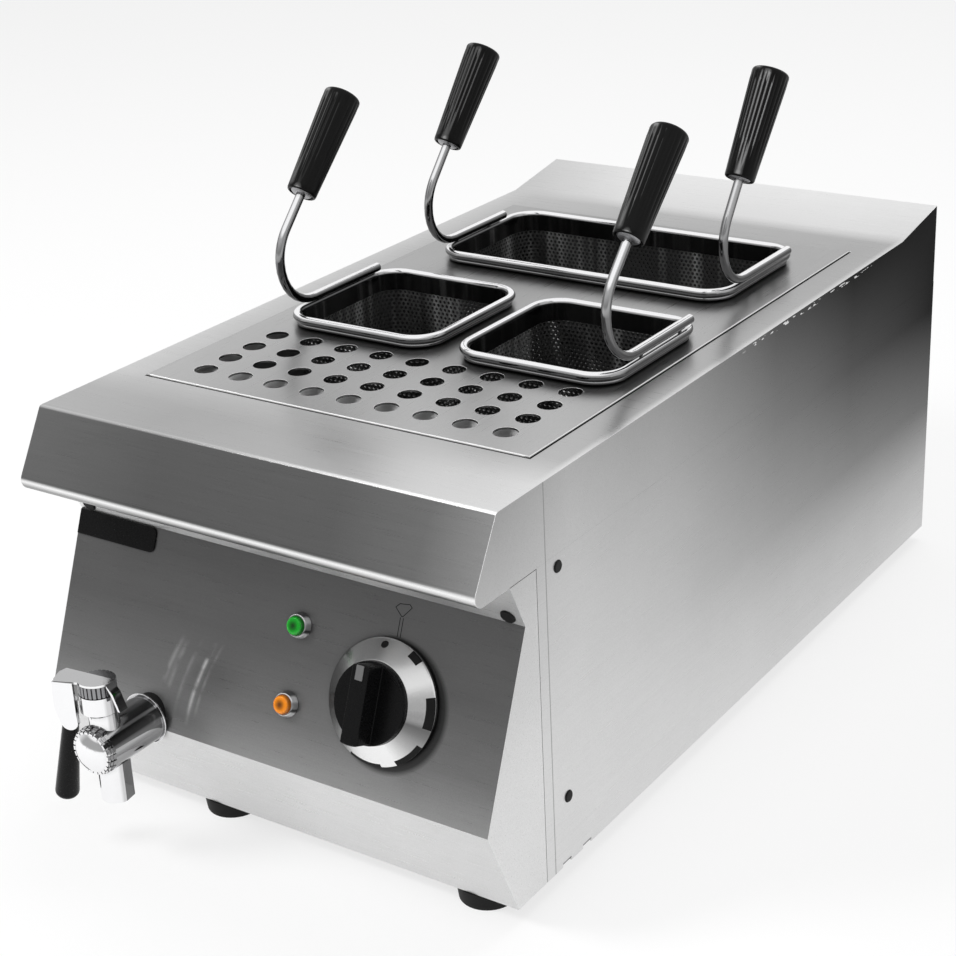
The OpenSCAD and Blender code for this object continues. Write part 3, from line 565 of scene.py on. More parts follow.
plate = {
    "half": 0.15,  # metres from the middle to its sides
    "flat": ((0.0, 0.66), (0.35, 0.54), (0.6, 0.6), (0.75, 0.62), (1.0, 0.62)),  # left to right
    # painted highlight on the edges
    "edge": ((0.1, 0.2), (0.3, 0.95), (0.95, 0.95)),  # from what is upright to what faces up
    "brightEnds": (-0.146, 0.146, 0.001),
    "brightFacing": (0.1, 0.95, 0.03),
}


def plateTone(finish):  # painted highlights: the edges are brighter than the flat
    across = stretch(finish, axes(finish, objectPlace(finish))[0], -plate["half"], plate["half"])
    upward = facingAxes(finish)[2]
    return blendGrey(finish, stretch(finish, upward, 0.99, 0.97), ramp(finish, across, plate["flat"]),
                     ramp(finish, upward, plate["edge"]))


def paleEdges(finish):  # the front bend and the holes' rims
    across = axes(finish, objectPlace(finish))[0]
    return maths(finish, "MULTIPLY", band(finish, across, *plate["brightEnds"]),
                 band(finish, facingAxes(finish)[2], *plate["brightFacing"]))


noseLight = {
    "bend": (0.62, 0.93, 0.04),  # upward part of the normal: from, to and blur
    "grows": (-0.12, 0.15),  # metres across
    "corner": (0.25, 0.8, 0.05),  # rightward part of the normal
    "forward": -0.1, "cornerForward": -0.3,
}


def noseHighlight(finish):  # painted highlight: the bend above the apron, towards its right end, and the right corner
    across = axes(finish, objectPlace(finish))[0]
    facing = facingAxes(finish)
    nose = maths(finish, "MULTIPLY", band(finish, facing[2], *noseLight["bend"]),
                 stretch(finish, across, *noseLight["grows"]))
    nose = maths(finish, "MULTIPLY", nose, maths(finish, "LESS_THAN", facing[1], noseLight["forward"]))
    corner = maths(finish, "MULTIPLY", band(finish, facing[0], *noseLight["corner"]),
                   maths(finish, "LESS_THAN", facing[1], noseLight["cornerForward"]))
    return maths(finish, "MAXIMUM", nose, corner)


wireTones = {
    "lower": ((0.3, 0.12), (0.5, 0.2), (0.62, 0.6), (0.7, 1.0)),  # from what faces down to what faces up
    "aim": (0.82, 0.57, -0.1),  # the dark side of an upright wire
    "round": ((0.0, 0.15), (0.12, 0.25), (0.2, 1.0), (0.5, 1.0), (0.62, 0.5), (0.75, 0.35),
              (0.86, 0.1), (1.0, 0.1)),
    "steep": 0.75,
    "contactShade": (0.004, 0.25),
}


def wireShade(finish):  # painted reflection: the underside of a wire mirrors what it lies on, and an upright wire is dark on its aim side
    t = wireTones
    facing = facingAxes(finish)
    lower = ramp(finish, stretch(finish, facing[2], -1.0, 1.0), t["lower"])
    right = ramp(finish, stretch(finish, facingToward(finish, t["aim"]), -1.0, 1.0), t["round"])
    steep = maths(finish, "LESS_THAN", maths(finish, "ABSOLUTE", facing[2]), t["steep"])
    return maths(finish, "MULTIPLY", paintedContactShade(finish, *t["contactShade"]),
                 maths(finish, "MINIMUM", lower, blendGrey(finish, steep, 1.0, right)))


chromeTones = {
    "bands": ((0.0, 0.9), (0.25, 0.25), (0.46, 0.45), (0.5, 0.7), (0.55, 0.62), (0.65, 0.55), (0.7, 0.15),
              (0.84, 0.1), (0.86, 0.95), (0.88, 0.9), (0.9, 0.14), (0.965, 0.2), (0.985, 0.5), (1.0, 0.6)),
    "right": (0.08, 0.16), "sideways": (0.55, 0.4),  # parts of the normal between which the bands begin
    "flat": (0.988, 0.156, 0), "flatShare": (0.98, 0.995), "flatTone": 0.2,  # the spout's flat side
    "top": ((0.9, 1.0), (0.97, 0.5)),
    "contactShade": (0.005, 0.1),
}


def chromeShade(finish):  # painted reflection: what faces right mirrors the dark panel in bands; the rest mirrors the pale room
    t = chromeTones
    facing = facingAxes(finish)
    bands = ramp(finish, stretch(finish, facing[2], -1.0, 1.0), t["bands"])
    right = maths(finish, "MULTIPLY", stretch(finish, facing[0], *t["right"]),
                  stretch(finish, maths(finish, "ABSOLUTE", facing[1]), *t["sideways"]))
    tone = blendGrey(finish, right, 1.0, bands)
    flats = stretch(finish, facingToward(finish, t["flat"]), *t["flatShare"])
    tone = blendGrey(finish, flats, tone, t["flatTone"])
    top = ramp(finish, facing[2], t["top"])
    return maths(finish, "MULTIPLY", paintedContactShade(finish, *t["contactShade"]), maths(finish, "MINIMUM", tone, top))


def bezelShade(finish):  # painted reflection on a turned ring: light above and below on its right, with one dark reflection
    upward = facingToward(finish, onPanel(0, 0).col[1].xyz)
    return ramp(finish, stretch(finish, upward, -1.0, 1.0),
                ((0.0, 0.5), (0.15, 0.95), (0.25, 0.9), (0.3, 0.1), (0.38, 0.05), (0.44, 0.35), (0.62, 0.45),
                 (0.72, 1.0), (0.85, 1.0), (0.92, 0.15), (1.0, 0.1)))


gripLight = {
    "black": 0.004,
    "windows": (((0.253, -0.887, 0.378), 0.3), ((-0.3, -0.6, 0.74), 0.2), ((0.75, 0.45, 0.48), 0.04)),
}


def gripShade(finish):  # black, with painted glints where a flute turns its flank to a window
    glint = gripLight["black"]
    for aim, level in gripLight["windows"]:
        facing = facingToward(finish, Vector(aim).normalized())
        lit = ramp(finish, facing, ((0.95, 0.0), (0.985, level * 0.3), (0.998, level)))
        glint = maths(finish, "MAXIMUM", lit, glint)
    return glint


def tankTone(finish):  # painted light: the shelf under the front holes is lighter, as it is close to the light
    return ramp(finish, axes(finish, objectPlace(finish))[2], ((0.262, 0.2), (0.266, 0.9)))


def streaked(perMetre, stops):  # painted streaks of light, upright on the dark walls of a basket
    def tone(finish):
        return ramp(finish, grainNoise(finish, (perMetre, perMetre, 3), 3, 0.6), stops)
    return tone


def skirtTone(finish):  # painted reflection of turned metal: light and dark wedges round the knob
    across, upward = panelPlace(finish, knob["x"], knob["s"])
    turn = maths(finish, "ARCTAN2", across, upward)  # clockwise from the top, in radians
    turn = stretch(finish, turn, -math.pi, math.pi)
    return ramp(finish, turn, ((0.0, 0.95), (0.08, 0.95), (0.17, 0.6), (0.25, 0.4), (0.42, 0.42),
                               (0.5, 0.55), (0.58, 0.6), (0.65, 0.75), (0.69, 1.0), (0.735, 0.9),
                               (0.765, 0.45), (0.786, 0.14), (0.81, 0.2), (0.86, 0.45), (0.917, 0.9),
                               (1.0, 0.95)))


finishes = {
    "worktop": brushedSteel("worktopSteel", worktopTone, 0.3, "X", contactShade=(0.008, 0.25), pale=noseHighlight),
    "panel": brushedSteel("panelSteel", panelTone, 0.3, "X", 1.2, 0.75, contactShade=(0.006, 0.3)),
    "side": brushedSteel("sideSteel", sideTone, 0.3, "Y", contactShade=(0.008, 0.25)),
    "back": brushedSteel("backSteel", 0.5, 0.36, "X"),
    "plate": brushedSteel("plateSteel", plateTone, 0.3, "Y", contactShade=(0.005, 0.4), pale=paleEdges),
    "inner": brushedSteel("innerSteel", 0.3, 0.32, "Z"),
    "tank": brushedSteel("tankSteel", tankTone, 0.5, "X", metallic=0.3),
    "mesh": brushedSteel("basketSteel", streaked(45, ((0.48, 0.2), (0.58, 0.5), (0.66, 1.0))), 0.35, "Z",
                         metallic=0.9, contactShade=(0.003, 0.3)),
    "band": brushedSteel("basketBand", streaked(60, ((0.5, 0.13), (0.6, 0.25), (0.7, 0.9))), 0.2, "Z",
                         metallic=1.0, contactShade=(0.003, 0.3)),
    "wire": plainFinish("polishedWire", (0.9, 0.9, 0.91), 0.12, 1.0, 0.03, 300, 0.000005, wireShade),
    "chrome": plainFinish("chromePlate", (0.93, 0.93, 0.94), 0.06, 1.0, 0.02, 200, 0.000002, chromeShade),
    "cap": plainFinish("ribbedCap", (0.3, 0.3, 0.31), 0.2, 1.0, 0.02, 200, 0.000002, chromeShade),
    "bezel": plainFinish("bezelChrome", (0.93, 0.93, 0.94), 0.3, 0.6, 0.02, 200, 0.000002, bezelShade),
    "knobMetal": brushedSteel("knobMetal", skirtTone, 0.22, "Z", 0.6),
    "zinc": plainFinish("zincScrews", (0.62, 0.61, 0.58), 0.38, 1.0, 0.15, 700, 0.00001),
    "element": plainFinish("elementTube", (0.2, 0.19, 0.18), 0.45, 1.0, 0.2, 500, 0.00002),
    "gloss": plainFinish("blackGlossPlastic", (0.004, 0.004, 0.0042), 0.28, 0.0, 0.1, 500, 0.00001,
                         Specular_IOR_Level=0.16),
    "grip": plainFinish("gripPlastic", (0.9, 0.9, 0.9), 0.3, 0.0, 0.1, 500, 0.00001, gripShade,
                        Specular_IOR_Level=0.12),
    "matte": plainFinish("blackMattePlastic", (0.012, 0.012, 0.0125), 0.5, 0.0, 0.15, 1200, 0.00004,
                         Specular_IOR_Level=0.25),
    "rubber": plainFinish("blackRubber", (0.008, 0.008, 0.008), 0.62, 0.0, 0.2, 1500, 0.00005,
                          Specular_IOR_Level=0.2),
    "cream": plainFinish("creamPlastic", (0.66, 0.62, 0.52), 0.5, 0.0, 0.08, 1500, 0.00003),
    "insert": plainFinish("greyInsert", (0.13, 0.13, 0.13), 0.4, 0.0, 0.08, 1500, 0.00003),
    "mark": plainFinish("printedMark", (0.004, 0.004, 0.004), 0.5, 0.0, 0.1, 2500, 0.00001,
                        Specular_IOR_Level=0.2),
    "ferrule": plainFinish("gripFerrule", (0.34, 0.34, 0.35), 0.32, 0.8, 0.2, 700, 0.00003),
}


lamps = {"x": 18.3, "green": 35.6, "amber": 85.3, "radius": 6.2}


def lensFinish(name, colour, centreColour, lampHeight):  # deeper colour at the middle of the lens
    def rings(finish):
        away = distanceFrom(finish, lamps["x"], lampHeight)
        return ramp(finish, stretch(finish, away, 0.0, lamps["radius"] * mm),
                    ((0.12, 0.1), (0.35, 0.35), (0.6, 0.8), (0.8, 1.0), (0.97, 0.3)))

    finish = plainFinish(name, colour, 0.15, 0.0, 0.05, 300, 0.00001, rings, Transmission_Weight=0.15,
                         IOR=1.49, Coat_Weight=0.25, Coat_Roughness=0.08, Specular_IOR_Level=0.3,
                         Emission_Strength=0.06)
    shader(finish).inputs["Emission Color"].default_value = (*centreColour, 1)
    return finish


finishes["green"] = lensFinish("greenLens", (0.004, 0.4, 0.02), (0.004, 0.3, 0.02), lamps["green"])
finishes["amber"] = lensFinish("amberLens", (1.0, 0.3, 0.006), (0.9, 0.25, 0.01), lamps["amber"])

slots = {  # the finish that each of the record's slots gets
    "casing_steel": "side", "panel_steel": "panel", "plate_steel": "plate", "inner_steel": "inner",
    "basket_mesh": "mesh", "bright_wire": "wire", "black_gloss": "gloss", "black_rubber": "rubber",
    "black_matte": "matte", "cream_plastic": "cream", "element_steel": "element", "green_lens": "green",
    "amber_lens": "amber", "zinc_steel": "zinc", "chrome": "chrome", "knob_metal": "knobMetal",
    "grey_insert": "insert",
}
slotOf = {part["node"]: part["material_slot"] for part in frame["record"]["subparts"]}
finishOf = {node: finishes[slots[slot]] for node, slot in slotOf.items()}
finishOf["worktop"] = finishes["worktop"]
finishOf["back_panel"] = finishes["back"]
finishOf["tank"] = finishes["tank"]
finishOf["tap_lever_cap"] = finishes["cap"]
for node in ("green_lamp_bezel", "amber_lamp_bezel"):
    finishOf[node] = finishes["bezel"]
bodyOf = {node: body for body, group in frame["record"]["behaviour"]["bodies"].items() for node in group}
for node, item in nodes.items():
    item.data.materials.clear()
    item.data.materials.append(finishOf[node])
print("materials made:", len(finishes))

# sheet metal and small hardware
edges = {  # radius in mm to which each node's sharp edges are broken
    "worktop": 0.45, "control_panel": 0.4, "left_side_panel": 0, "right_side_panel": 0,
    "back_panel": 0.3, "cover_plate": 0.45, "feet": 0.8, "badge_plate": 0.3, "panel_plugs": 0.3,
    "side_plugs": 0.25, "back_screws": 0.2, "tap_barrel": 0.35, "tap_collar": 0.4, "tap_washer": 0.2,
    "tap_spout": 0.5, "tap_lever_cap": 0.2, "tap_lever_arm": 0.7, "tap_lever_handle": 0.3,
    "green_lamp_bezel": 0.3, "amber_lamp_bezel": 0.3, "green_lamp_lens": 0.2, "amber_lamp_lens": 0.2,
    "knob_skirt": 0.3, "knob_grip": 0.7, "knob_pointer": 0.15, "cable_gland": 0.4,
}
flange = {"foot": 0.228, "rear": -0.24}  # below and behind these, sheets meet flush and keep sharp edges


def breaksEdge(node):
    def wanted(edge):
        spots = [v.co for v in edge.verts]
        if node == "worktop":
            return max(p.z for p in spots) > flange["foot"]
        if node == "control_panel":
            return min(p.y for p in spots) < flange["rear"]
        return True
    return wanted


for node, width in edges.items():
    dress(softened(node, width, breaksEdge(node)), finishOf[node], bodyOf[node], slotOf[node], node)
for node in [n for n in nodes if n.endswith("_rim") or "_rod" in n]:
    dress(softened(node, 0, smoothAngle=50), finishOf[node], bodyOf[node], slotOf[node], node)
print("sheet metal and hardware softened:", len(edges))

# baskets
baskets = {  # centre and rim size in mm, the same as the solids
    "basket_left": {"centre": (-67, 251), "rim": (126, 126)},
    "basket_right": {"centre": (77.5, 246), "rim": (126, 126)},
    "basket_rear": {"centre": (3, 424), "rim": (246, 126)},
}
weave = {
    "pitch": 3.7,  # between neighbouring holes
    "hole": 0.62,  # hole width as a share of the pitch
    "plain": 11.5,  # plain band below the upper rim wire
    "thick": 0.8,
    "corner": 18,
    "top": 7.8,  # above the worktop
    "bottom": -149,
    "foot": 8,  # height of the plain band at the foot
    "lap": 0.5,  # by which the plain bands lap over the mesh
    "wires": 12,  # the rim's two wires, across
    "overlap": 0.2,  # by which the wall reaches into them
    "floorLift": 0.9,
    "floorInset": 1.2,
}


def outlinePoint(travel, width, depth, radius):  # a place on a rounded rectangle, and the way out from it
    straight = (width - 2 * radius, depth - 2 * radius)
    bend = math.pi * radius / 2
    travel %= 2 * (straight[0] + straight[1]) + 4 * bend
    turn = 0.0
    corner = Vector((width / 2 - radius, -depth / 2 + radius))
    for side in range(4):
        run = straight[(side + 1) % 2]
        out = Vector((math.cos(turn), math.sin(turn)))
        ahead = Vector((-out.y, out.x))
        if travel < run:
            return corner + out * radius + ahead * travel, out
        travel -= run
        corner = corner + ahead * run
        if travel < bend:
            angle = turn + travel / radius
            out = Vector((math.cos(angle), math.sin(angle)))
            return corner + out * radius, out
        travel -= bend
        turn += math.pi / 2
    return corner + Vector((radius, 0)), Vector((1, 0))


def perimeter(width, depth, radius):
    return 2 * (width + depth - 4 * radius) + 2 * math.pi * radius


def perforated(name, columns, pairs, pitch):  # a flat sheet of six-sided cells, each with its hole
    pick()
    bpy.ops.mesh.primitive_circle_add(vertices=6, radius=pitch / math.sqrt(3) * mm, fill_type="NGON")
    piece = newest(name)
    startEdit(piece)
    bpy.ops.mesh.select_all(action="SELECT")
    bpy.ops.mesh.inset(thickness=pitch / 2 * (1 - weave["hole"]) * mm)
    bpy.ops.mesh.delete(type="FACE")
    bpy.ops.mesh.select_all(action="SELECT")
    bpy.ops.mesh.duplicate_move(TRANSFORM_OT_translate={
        "value": (pitch / 2 * mm, pitch * math.sqrt(3) / 2 * mm, 0)})
    objectMode()
    for count, offset in ((columns, (pitch, 0, 0)), (pairs, (0, pitch * math.sqrt(3), 0))):
        repeat = piece.modifiers.new("repeat", "ARRAY")
        repeat.count = count
        repeat.use_relative_offset = False
        repeat.use_constant_offset = True
        repeat.constant_offset_displace = Vector(offset) * mm
        repeat.use_merge_vertices = True
        repeat.merge_threshold = 2e-5
        applyModifiers(piece)
    return piece


def rolledWall(name, size, low, high):  # a perforated strip bent round the basket between two heights
    width, depth = size
    around = perimeter(width, depth, weave["corner"])
    columns = round(around / weave["pitch"])
    pitch = around / columns
    pairs = round((high - low) / (pitch * math.sqrt(3)))
    piece = perforated(name, columns, pairs, pitch)
    ys = [v.co.y for v in piece.data.vertices]
    lowest, tallest = min(ys), max(ys)
    for v in piece.data.vertices:
        spot, _ = outlinePoint(v.co.x / mm, width, depth, weave["corner"])
        share = (v.co.y - lowest) / (tallest - lowest)
        v.co = Vector((spot.x, spot.y, low + share * (high - low))) * mm
    tidyNormals(piece)
    return piece


def thicken(piece, amount):
    wall = piece.modifiers.new("thickness", "SOLIDIFY")
    wall.thickness = amount * mm
    wall.offset = -1
    applyModifiers(piece)


def plainBand(name, size, levels):  # a smooth closed strip round the basket through the given heights
    width, depth = size
    around = perimeter(width, depth, weave["corner"])
    count = 96
    pick()
    bpy.ops.mesh.primitive_circle_add(vertices=count, radius=0.01)
    piece = newest(name)
    for i, v in enumerate(piece.data.vertices):
        spot, _ = outlinePoint(around * i / count, width, depth, weave["corner"])
        v.co = Vector((spot.x, spot.y, levels[0])) * mm
    startEdit(piece, "VERT")
    bpy.ops.mesh.select_all(action="SELECT")
    for z0, z1 in zip(levels, levels[1:]):
        bpy.ops.mesh.extrude_region_move(TRANSFORM_OT_translate={"value": (0, 0, (z1 - z0) * mm)})
    objectMode()
    return piece


def flatMesh(name, size, height):  # perforated floor of a basket, trimmed to the walls
    width, depth = size
    columns = math.ceil(width / weave["pitch"]) + 1
    pairs = math.ceil(depth / (weave["pitch"] * math.sqrt(3))) + 1
    piece = perforated(name, columns, pairs, weave["pitch"])
    shift = Vector((-width / 2, -depth / 2, height)) * mm
    for v in piece.data.vertices:
        v.co += shift
    startEdit(piece)
    corner = weave["corner"]
    for step in range(24):  # straight cuts all round, which leave the corners round
        turn = math.radians(15 * step)
        out = Vector((math.cos(turn), math.sin(turn), 0))
        reach = abs(out.x) * (width / 2 - corner) + abs(out.y) * (depth / 2 - corner)
        spot = out * (reach + corner - weave["floorInset"]) * mm
        bpy.ops.mesh.select_all(action="SELECT")
        bpy.ops.mesh.bisect(plane_co=spot, plane_no=out, clear_outer=True)
    objectMode()
    return piece


def makeBasket(body, basket):
    size = tuple(s - weave["wires"] + weave["overlap"] for s in basket["rim"])
    top, bottom = weave["top"], weave["bottom"]
    split = top - weave["plain"]
    foot = bottom + weave["foot"]
    middle = (split + bottom + weave["foot"]) / 2
    home = Matrix.Translation(deck(*basket["centre"], 0))
    bands = [plainBand(body + "Band", size, (split - weave["lap"], top)),
             plainBand(body + "Foot", size, (bottom, foot + weave["lap"]))]
    for part in bands:
        tidyNormals(part)
        thicken(part, weave["thick"])
    floorSheet = flatMesh(body + "Floor", size, bottom + weave["floorLift"])
    thicken(floorSheet, weave["thick"])
    bands = joined(body + "Bands", bands + [floorSheet])
    place(bands, home)
    smooth(bands, 40)
    dress(bands, finishes["band"], body, "basket_mesh", body + "_shell")
    for half, low, high in (("Upper", middle, split), ("Lower", foot, middle)):
        wall = rolledWall(body + half, size, low, high)
        thicken(wall, weave["thick"])
        place(wall, home)
        smooth(wall, 40)
        dress(wall, finishes["mesh"], body, "basket_mesh", body + "_shell")
        print(wall.name, len(wall.data.polygons), "faces")


for body, basket in baskets.items():
    makeBasket(body, basket)
print("baskets perforated")

# grips
rods = {  # inboard of the wire, middle of the forward bend, lean back, lean right, rear end: as the solids
    "basket_left_grip": ("basket_left", -1, 4, 31.4, 42.4, 1.5),
    "basket_right_grip": ("basket_right", 1, -0.7, 33.5, 44.4, 0.1),
    "basket_rear_grip_left": ("basket_rear", -1, 3.6, 18.9, 37, 4.7),
    "basket_rear_grip_right": ("basket_rear", 1, -4.1, 29.4, 31.7, 2.8),
}
grip = {
    "length": 78, "low": 10.6, "high": 13.1, "flutes": 20, "fluteDepth": 0.55,
    "fluteFoot": 8, "fadeIn": 14, "fadeOut": 3, "fluteCurve": 1.4,
    "bow": 34.2, "leanRadius": 32.3, "reach": 27.5, "wire": 3, "rod": 3.25, "rodBase": 9.2,
}


def gripPlace(name):  # where a grip's lower end is, with Z along the grip
    body, side, inset, bend, lean, tilt = rods[name]
    centre, rim = baskets[body]["centre"], baskets[body]["rim"]
    level = grip["rodBase"] + math.sqrt((grip["wire"] + grip["rod"]) ** 2 - inset ** 2)
    start = deck(centre[0] + side * (rim[0] / 2 - grip["wire"] - inset), centre[1] - rim[1] / 2, 1 + level)
    angle = math.radians(lean)
    y = bend - grip["bow"] + grip["leanRadius"] * (1 - math.cos(angle))
    z = grip["bow"] + grip["leanRadius"] * math.sin(angle)
    return (Matrix.Translation(start) @ Matrix.Rotation(math.radians(tilt), 4, "Y")
            @ Matrix.Translation(Vector((0, y, z)) * mm) @ Matrix.Rotation(-angle, 4, "X")
            @ Matrix.Translation(Vector((0, 0, grip["reach"])) * mm))


def makeGrip(name):
    length, low, high = grip["length"], grip["low"], grip["high"]
    slope = (high - low) / (length - 8.5)

    def radius(z):
        return low + slope * (z - 1.5)

    profile = [(1.4, 4.0), (0.9, 8.6), (0.0, 8.9), (0.0, low - 0.9), (0.5, low - 0.3), (1.5, low)]
    profile += [(z, radius(z)) for z in (4, 7, 12, 20, 28, 36, 44, 52, 60, 66, 69)]
    crown = length - 2.6
    profile += [(73, high - 0.1), (crown, high), (crown + 1.0, high - 0.25), (crown + 1.8, high - 0.9),
                (crown + 2.3, high - 1.9), (length, high - 4), (length, 1.5)]
    piece = turned(name + "Fluted", grip["flutes"] * 6, profile)
    fluteTop = crown - 1
    for v in piece.data.vertices:  # flutes: shallow at the lower end, full up to the crown
        z = v.co.z / mm
        reach = v.co.xy.length
        if z < grip["fluteFoot"] or z > fluteTop or reach < 5 * mm:  # inside the ends
            continue
        fade = min(1, (z - grip["fluteFoot"]) / grip["fadeIn"]) * min(1, (fluteTop - z) / grip["fadeOut"])
        wave = abs(math.sin(grip["flutes"] / 2 * math.atan2(v.co.y, v.co.x)))
        v.co.xy *= 1 - grip["fluteDepth"] * fade * (1 - wave) ** grip["fluteCurve"] * mm / reach
    collar = turned(name + "Collar", 48, [(-0.6, 3.5), (-0.6, 6.2), (0.4, 7.6), (1.2, 8.2), (1.2, 3.5)])
    for part in (piece, collar):
        place(part, gripPlace(name))
        smooth(part, 50)
    body = rods[name][0]
    dress(piece, finishes["grip"], body, "black_gloss", name)
    dress(collar, finishes["ferrule"], body, "bright_wire")


for name in rods:
    makeGrip(name)
print("grips fluted")

# knob marks
dialMarks = (  # clockwise from the top in degrees, from and to, and the inner radius in mm
    (25, 38, 35.0), (72, 102, 34.4), (120, 151, 36.2), (168, 203, 37.0),
)


def skirtHeight(radius):
    (r0, h0), (r1, h1) = knob["rim"], knob["crown"]
    return h0 + (h1 - h0) * (r0 - radius) / (r0 - r1)


def makeMark(name, start, end, inner):
    pick()
    bpy.ops.mesh.primitive_plane_add(size=0.001)
    piece = newest(name)
    startEdit(piece, "VERT")
    choose(piece, "verts", lambda v: v.co.x > 0)
    bpy.ops.mesh.delete(type="VERT")
    bpy.ops.mesh.select_all(action="SELECT")
    bpy.ops.mesh.subdivide(number_cuts=1)
    objectMode()
    edge = knob["rim"][0]
    path = ((inner, skirtHeight(inner)), (edge, knob["rim"][1]), (edge + 0.9, knob["rim"][1] - 0.9))
    order = sorted(piece.data.vertices, key=lambda v: v.co.y)
    for v, (reach, height) in zip(order, path):
        v.co = Vector((reach, 0, height + 0.02)) * mm
    startEdit(piece, "VERT")
    bpy.ops.mesh.select_all(action="SELECT")
    bpy.ops.mesh.spin(steps=8, angle=math.radians(end - start), center=(0, 0, 0), axis=(0, 0, 1))
    objectMode()
    tidyNormals(piece)
    if piece.data.polygons[0].normal.z < 0:
        startEdit(piece)
        bpy.ops.mesh.flip_normals()
        objectMode()
    middle = Vector((0, 0, 0))
    for v in piece.data.vertices:
        middle += v.co
    swept = math.degrees(math.atan2(middle.y, middle.x))
    layer = piece.modifiers.new("ink", "SOLIDIFY")
    layer.thickness = 0.12 * mm
    layer.offset = 1
    applyModifiers(piece)
    turn = Matrix.Rotation(math.radians(90 - (start + end) / 2 - swept), 4, "Z")
    place(piece, onPanel(knob["x"], knob["s"]) @ turn)
    return dress(piece, finishes["mark"], "knob", "black_matte")


for number, (start, end, inner) in enumerate(dialMarks):
    makeMark("dialMark%d" % number, start, end, inner)
dot = turned("dialDot", 24, [(-0.1, 2.5), (0.1, 2.5), (0.16, 2.3)])
slant = math.atan2(knob["crown"][1] - knob["rim"][1], knob["rim"][0] - knob["crown"][0])
place(dot, onPanel(knob["x"], knob["s"]) @ Matrix.Rotation(math.radians(4), 4, "Z")
      @ Matrix.Translation(Vector((0, 35, skirtHeight(35))) * mm) @ Matrix.Rotation(-slant, 4, "X"))
dress(dot, finishes["mark"], "knob", "black_matte")
print("knob marked")

symbol = {  # outline of a funnel above the knob: across and down the panel in mm
    "lines": (((85.1, 8.8), (87.7, 6.2), (94.9, 5.3), (96.7, 6.9), (91.2, 13.4), (90.2, 13.4), (85.1, 8.8)),
              ((89.6, 14.4), (89.6, 25.8)), ((91.8, 14.4), (91.8, 25.8))),
    "width": 0.4,
    "ink": 0.08,
}


def makeLine(name, start, end):
    middle = [(a + b) / 2 for a, b in zip(start, end)]
    run = Vector((end[0] - start[0], start[1] - end[1]))
    pick()
    bpy.ops.mesh.primitive_plane_add(size=mm)
    piece = newest(name)
    startEdit(piece)
    bpy.ops.mesh.select_all(action="SELECT")
    bpy.ops.transform.resize(value=(run.length + symbol["width"], symbol["width"], 1))
    bpy.ops.mesh.extrude_region_move(TRANSFORM_OT_translate={"value": (0, 0, symbol["ink"] * mm)})
    objectMode()
    tidyNormals(piece)
    place(piece, onPanel(*middle) @ Matrix.Rotation(math.atan2(run.y, run.x), 4, "Z"))
    return piece


strokes = []
for points in symbol["lines"]:
    strokes += [makeLine("stroke", a, b) for a, b in zip(points, points[1:])]
dress(joined("funnelSymbol", strokes), finishes["mark"], "casing", "black_matte")
print("symbol drawn")

# stage
studio = {
    "floor": 9.0,
    "floorTone": 0.86,
    "floorGlow": 0.72,  # share of the floor's white that needs no light
    "ambient": 0.55,
    # how much darker the open front of the white room is in reflections, and where, by direction
    "frontShade": 0.62, "frontTurn": (0.1, -0.6), "frontHeight": (0.06, 0.55, 0.15),
    "horizonShade": 0.25, "horizonHeight": (-0.01, 0.09, 0.02),
    "lamps": (  # name, place in metres, aim, size in metres, strength in watts
        ("keyLamp", (-1.5, -1.5, 2.0), (0, 0, 0.15), 0.9, 42),
        ("fillLamp", (2.4, -1.5, 1.6), (0, 0, 0.15), 1.8, 16),
        ("topLamp", (0.2, 0.9, 2.6), (0, 0.1, 0.2), 1.6, 26),
    ),
}


def whiteForCamera(finish, dim, bright):  # dim lights the object, bright is what the camera and metal see
    path = addNode(finish, "ShaderNodeLightPath")
    seen = maths(finish, "MAXIMUM", path.outputs["Is Camera Ray"],
                 maths(finish, "MAXIMUM", path.outputs["Is Glossy Ray"], path.outputs["Is Transmission Ray"]))
    mix = addNode(finish, "ShaderNodeMixShader")
    wire(finish, seen, mix.inputs[0])
    wire(finish, dim, mix.inputs[1])
    wire(finish, bright, mix.inputs[2])
    return mix.outputs[0]


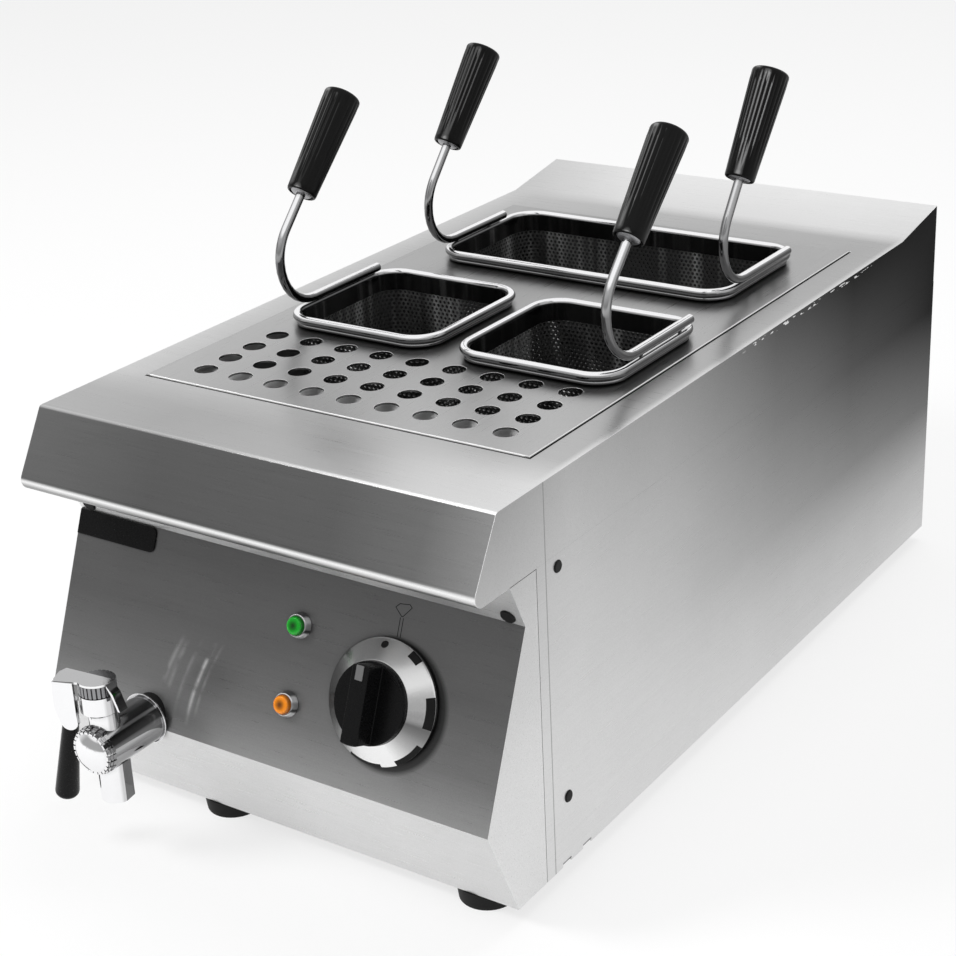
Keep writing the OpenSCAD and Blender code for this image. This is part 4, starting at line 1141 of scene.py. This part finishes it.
def makeStage(s):
    pick()
    bpy.ops.mesh.primitive_plane_add(size=s["floor"])
    floor = newest("floor")
    finish = startMaterial("paleFloor")
    finish.node_tree.nodes.remove(shader(finish))
    matte = addNode(finish, "ShaderNodeBsdfDiffuse", Color=(*[s["floorTone"]] * 3, 1))
    glow = addNode(finish, "ShaderNodeEmission", Strength=1.0, Color=(1, 1, 1, 1))
    lit = addNode(finish, "ShaderNodeMixShader", Fac=s["floorGlow"])
    wire(finish, matte.outputs[0], lit.inputs[1])
    wire(finish, glow.outputs[0], lit.inputs[2])
    wire(finish, whiteForCamera(finish, matte.outputs[0], lit.outputs[0]),
         finish.node_tree.nodes["Material Output"].inputs[0])
    floor.data.materials.append(finish)

    world = bpy.data.worlds.new("paleStudio")
    bpy.context.scene.world = world
    world.use_nodes = True
    sky = world.node_tree.nodes["Background"]
    sky.inputs["Strength"].default_value = s["ambient"]
    sky.inputs["Color"].default_value = (1, 1, 1, 1)
    white = addNode(world, "ShaderNodeBackground", Strength=1.0)
    path = addNode(world, "ShaderNodeLightPath")
    direction = axes(world, addNode(world, "ShaderNodeTexCoord").outputs["Generated"])
    front = maths(world, "MULTIPLY", stretch(world, direction[1], *s["frontTurn"]),
                  band(world, direction[2], *s["frontHeight"]))
    horizon = maths(world, "MULTIPLY", band(world, direction[2], *s["horizonHeight"]), s["horizonShade"])
    dark = maths(world, "MAXIMUM", maths(world, "MULTIPLY", front, s["frontShade"]), horizon)
    shade = maths(world, "MULTIPLY", dark, path.outputs["Is Glossy Ray"])
    wire(world, maths(world, "SUBTRACT", 1.0, shade), white.inputs["Color"])
    wire(world, whiteForCamera(world, sky.outputs[0], white.outputs[0]),
         world.node_tree.nodes["World Output"].inputs[0])

    for name, spot, aim, size, watts in s["lamps"]:
        bpy.ops.object.light_add(type="AREA", location=spot)
        lamp = bpy.context.object
        lamp.name = name
        lamp.data.shape = "DISK"
        lamp.data.size = size
        lamp.data.energy = watts
        lamp.visible_glossy = False
        lamp.rotation_euler = (Vector(aim) - Vector(spot)).to_track_quat("-Z", "Y").to_euler()


makeStage(studio)
bpy.context.scene.view_settings.view_transform = "Standard"
print("stage lit")
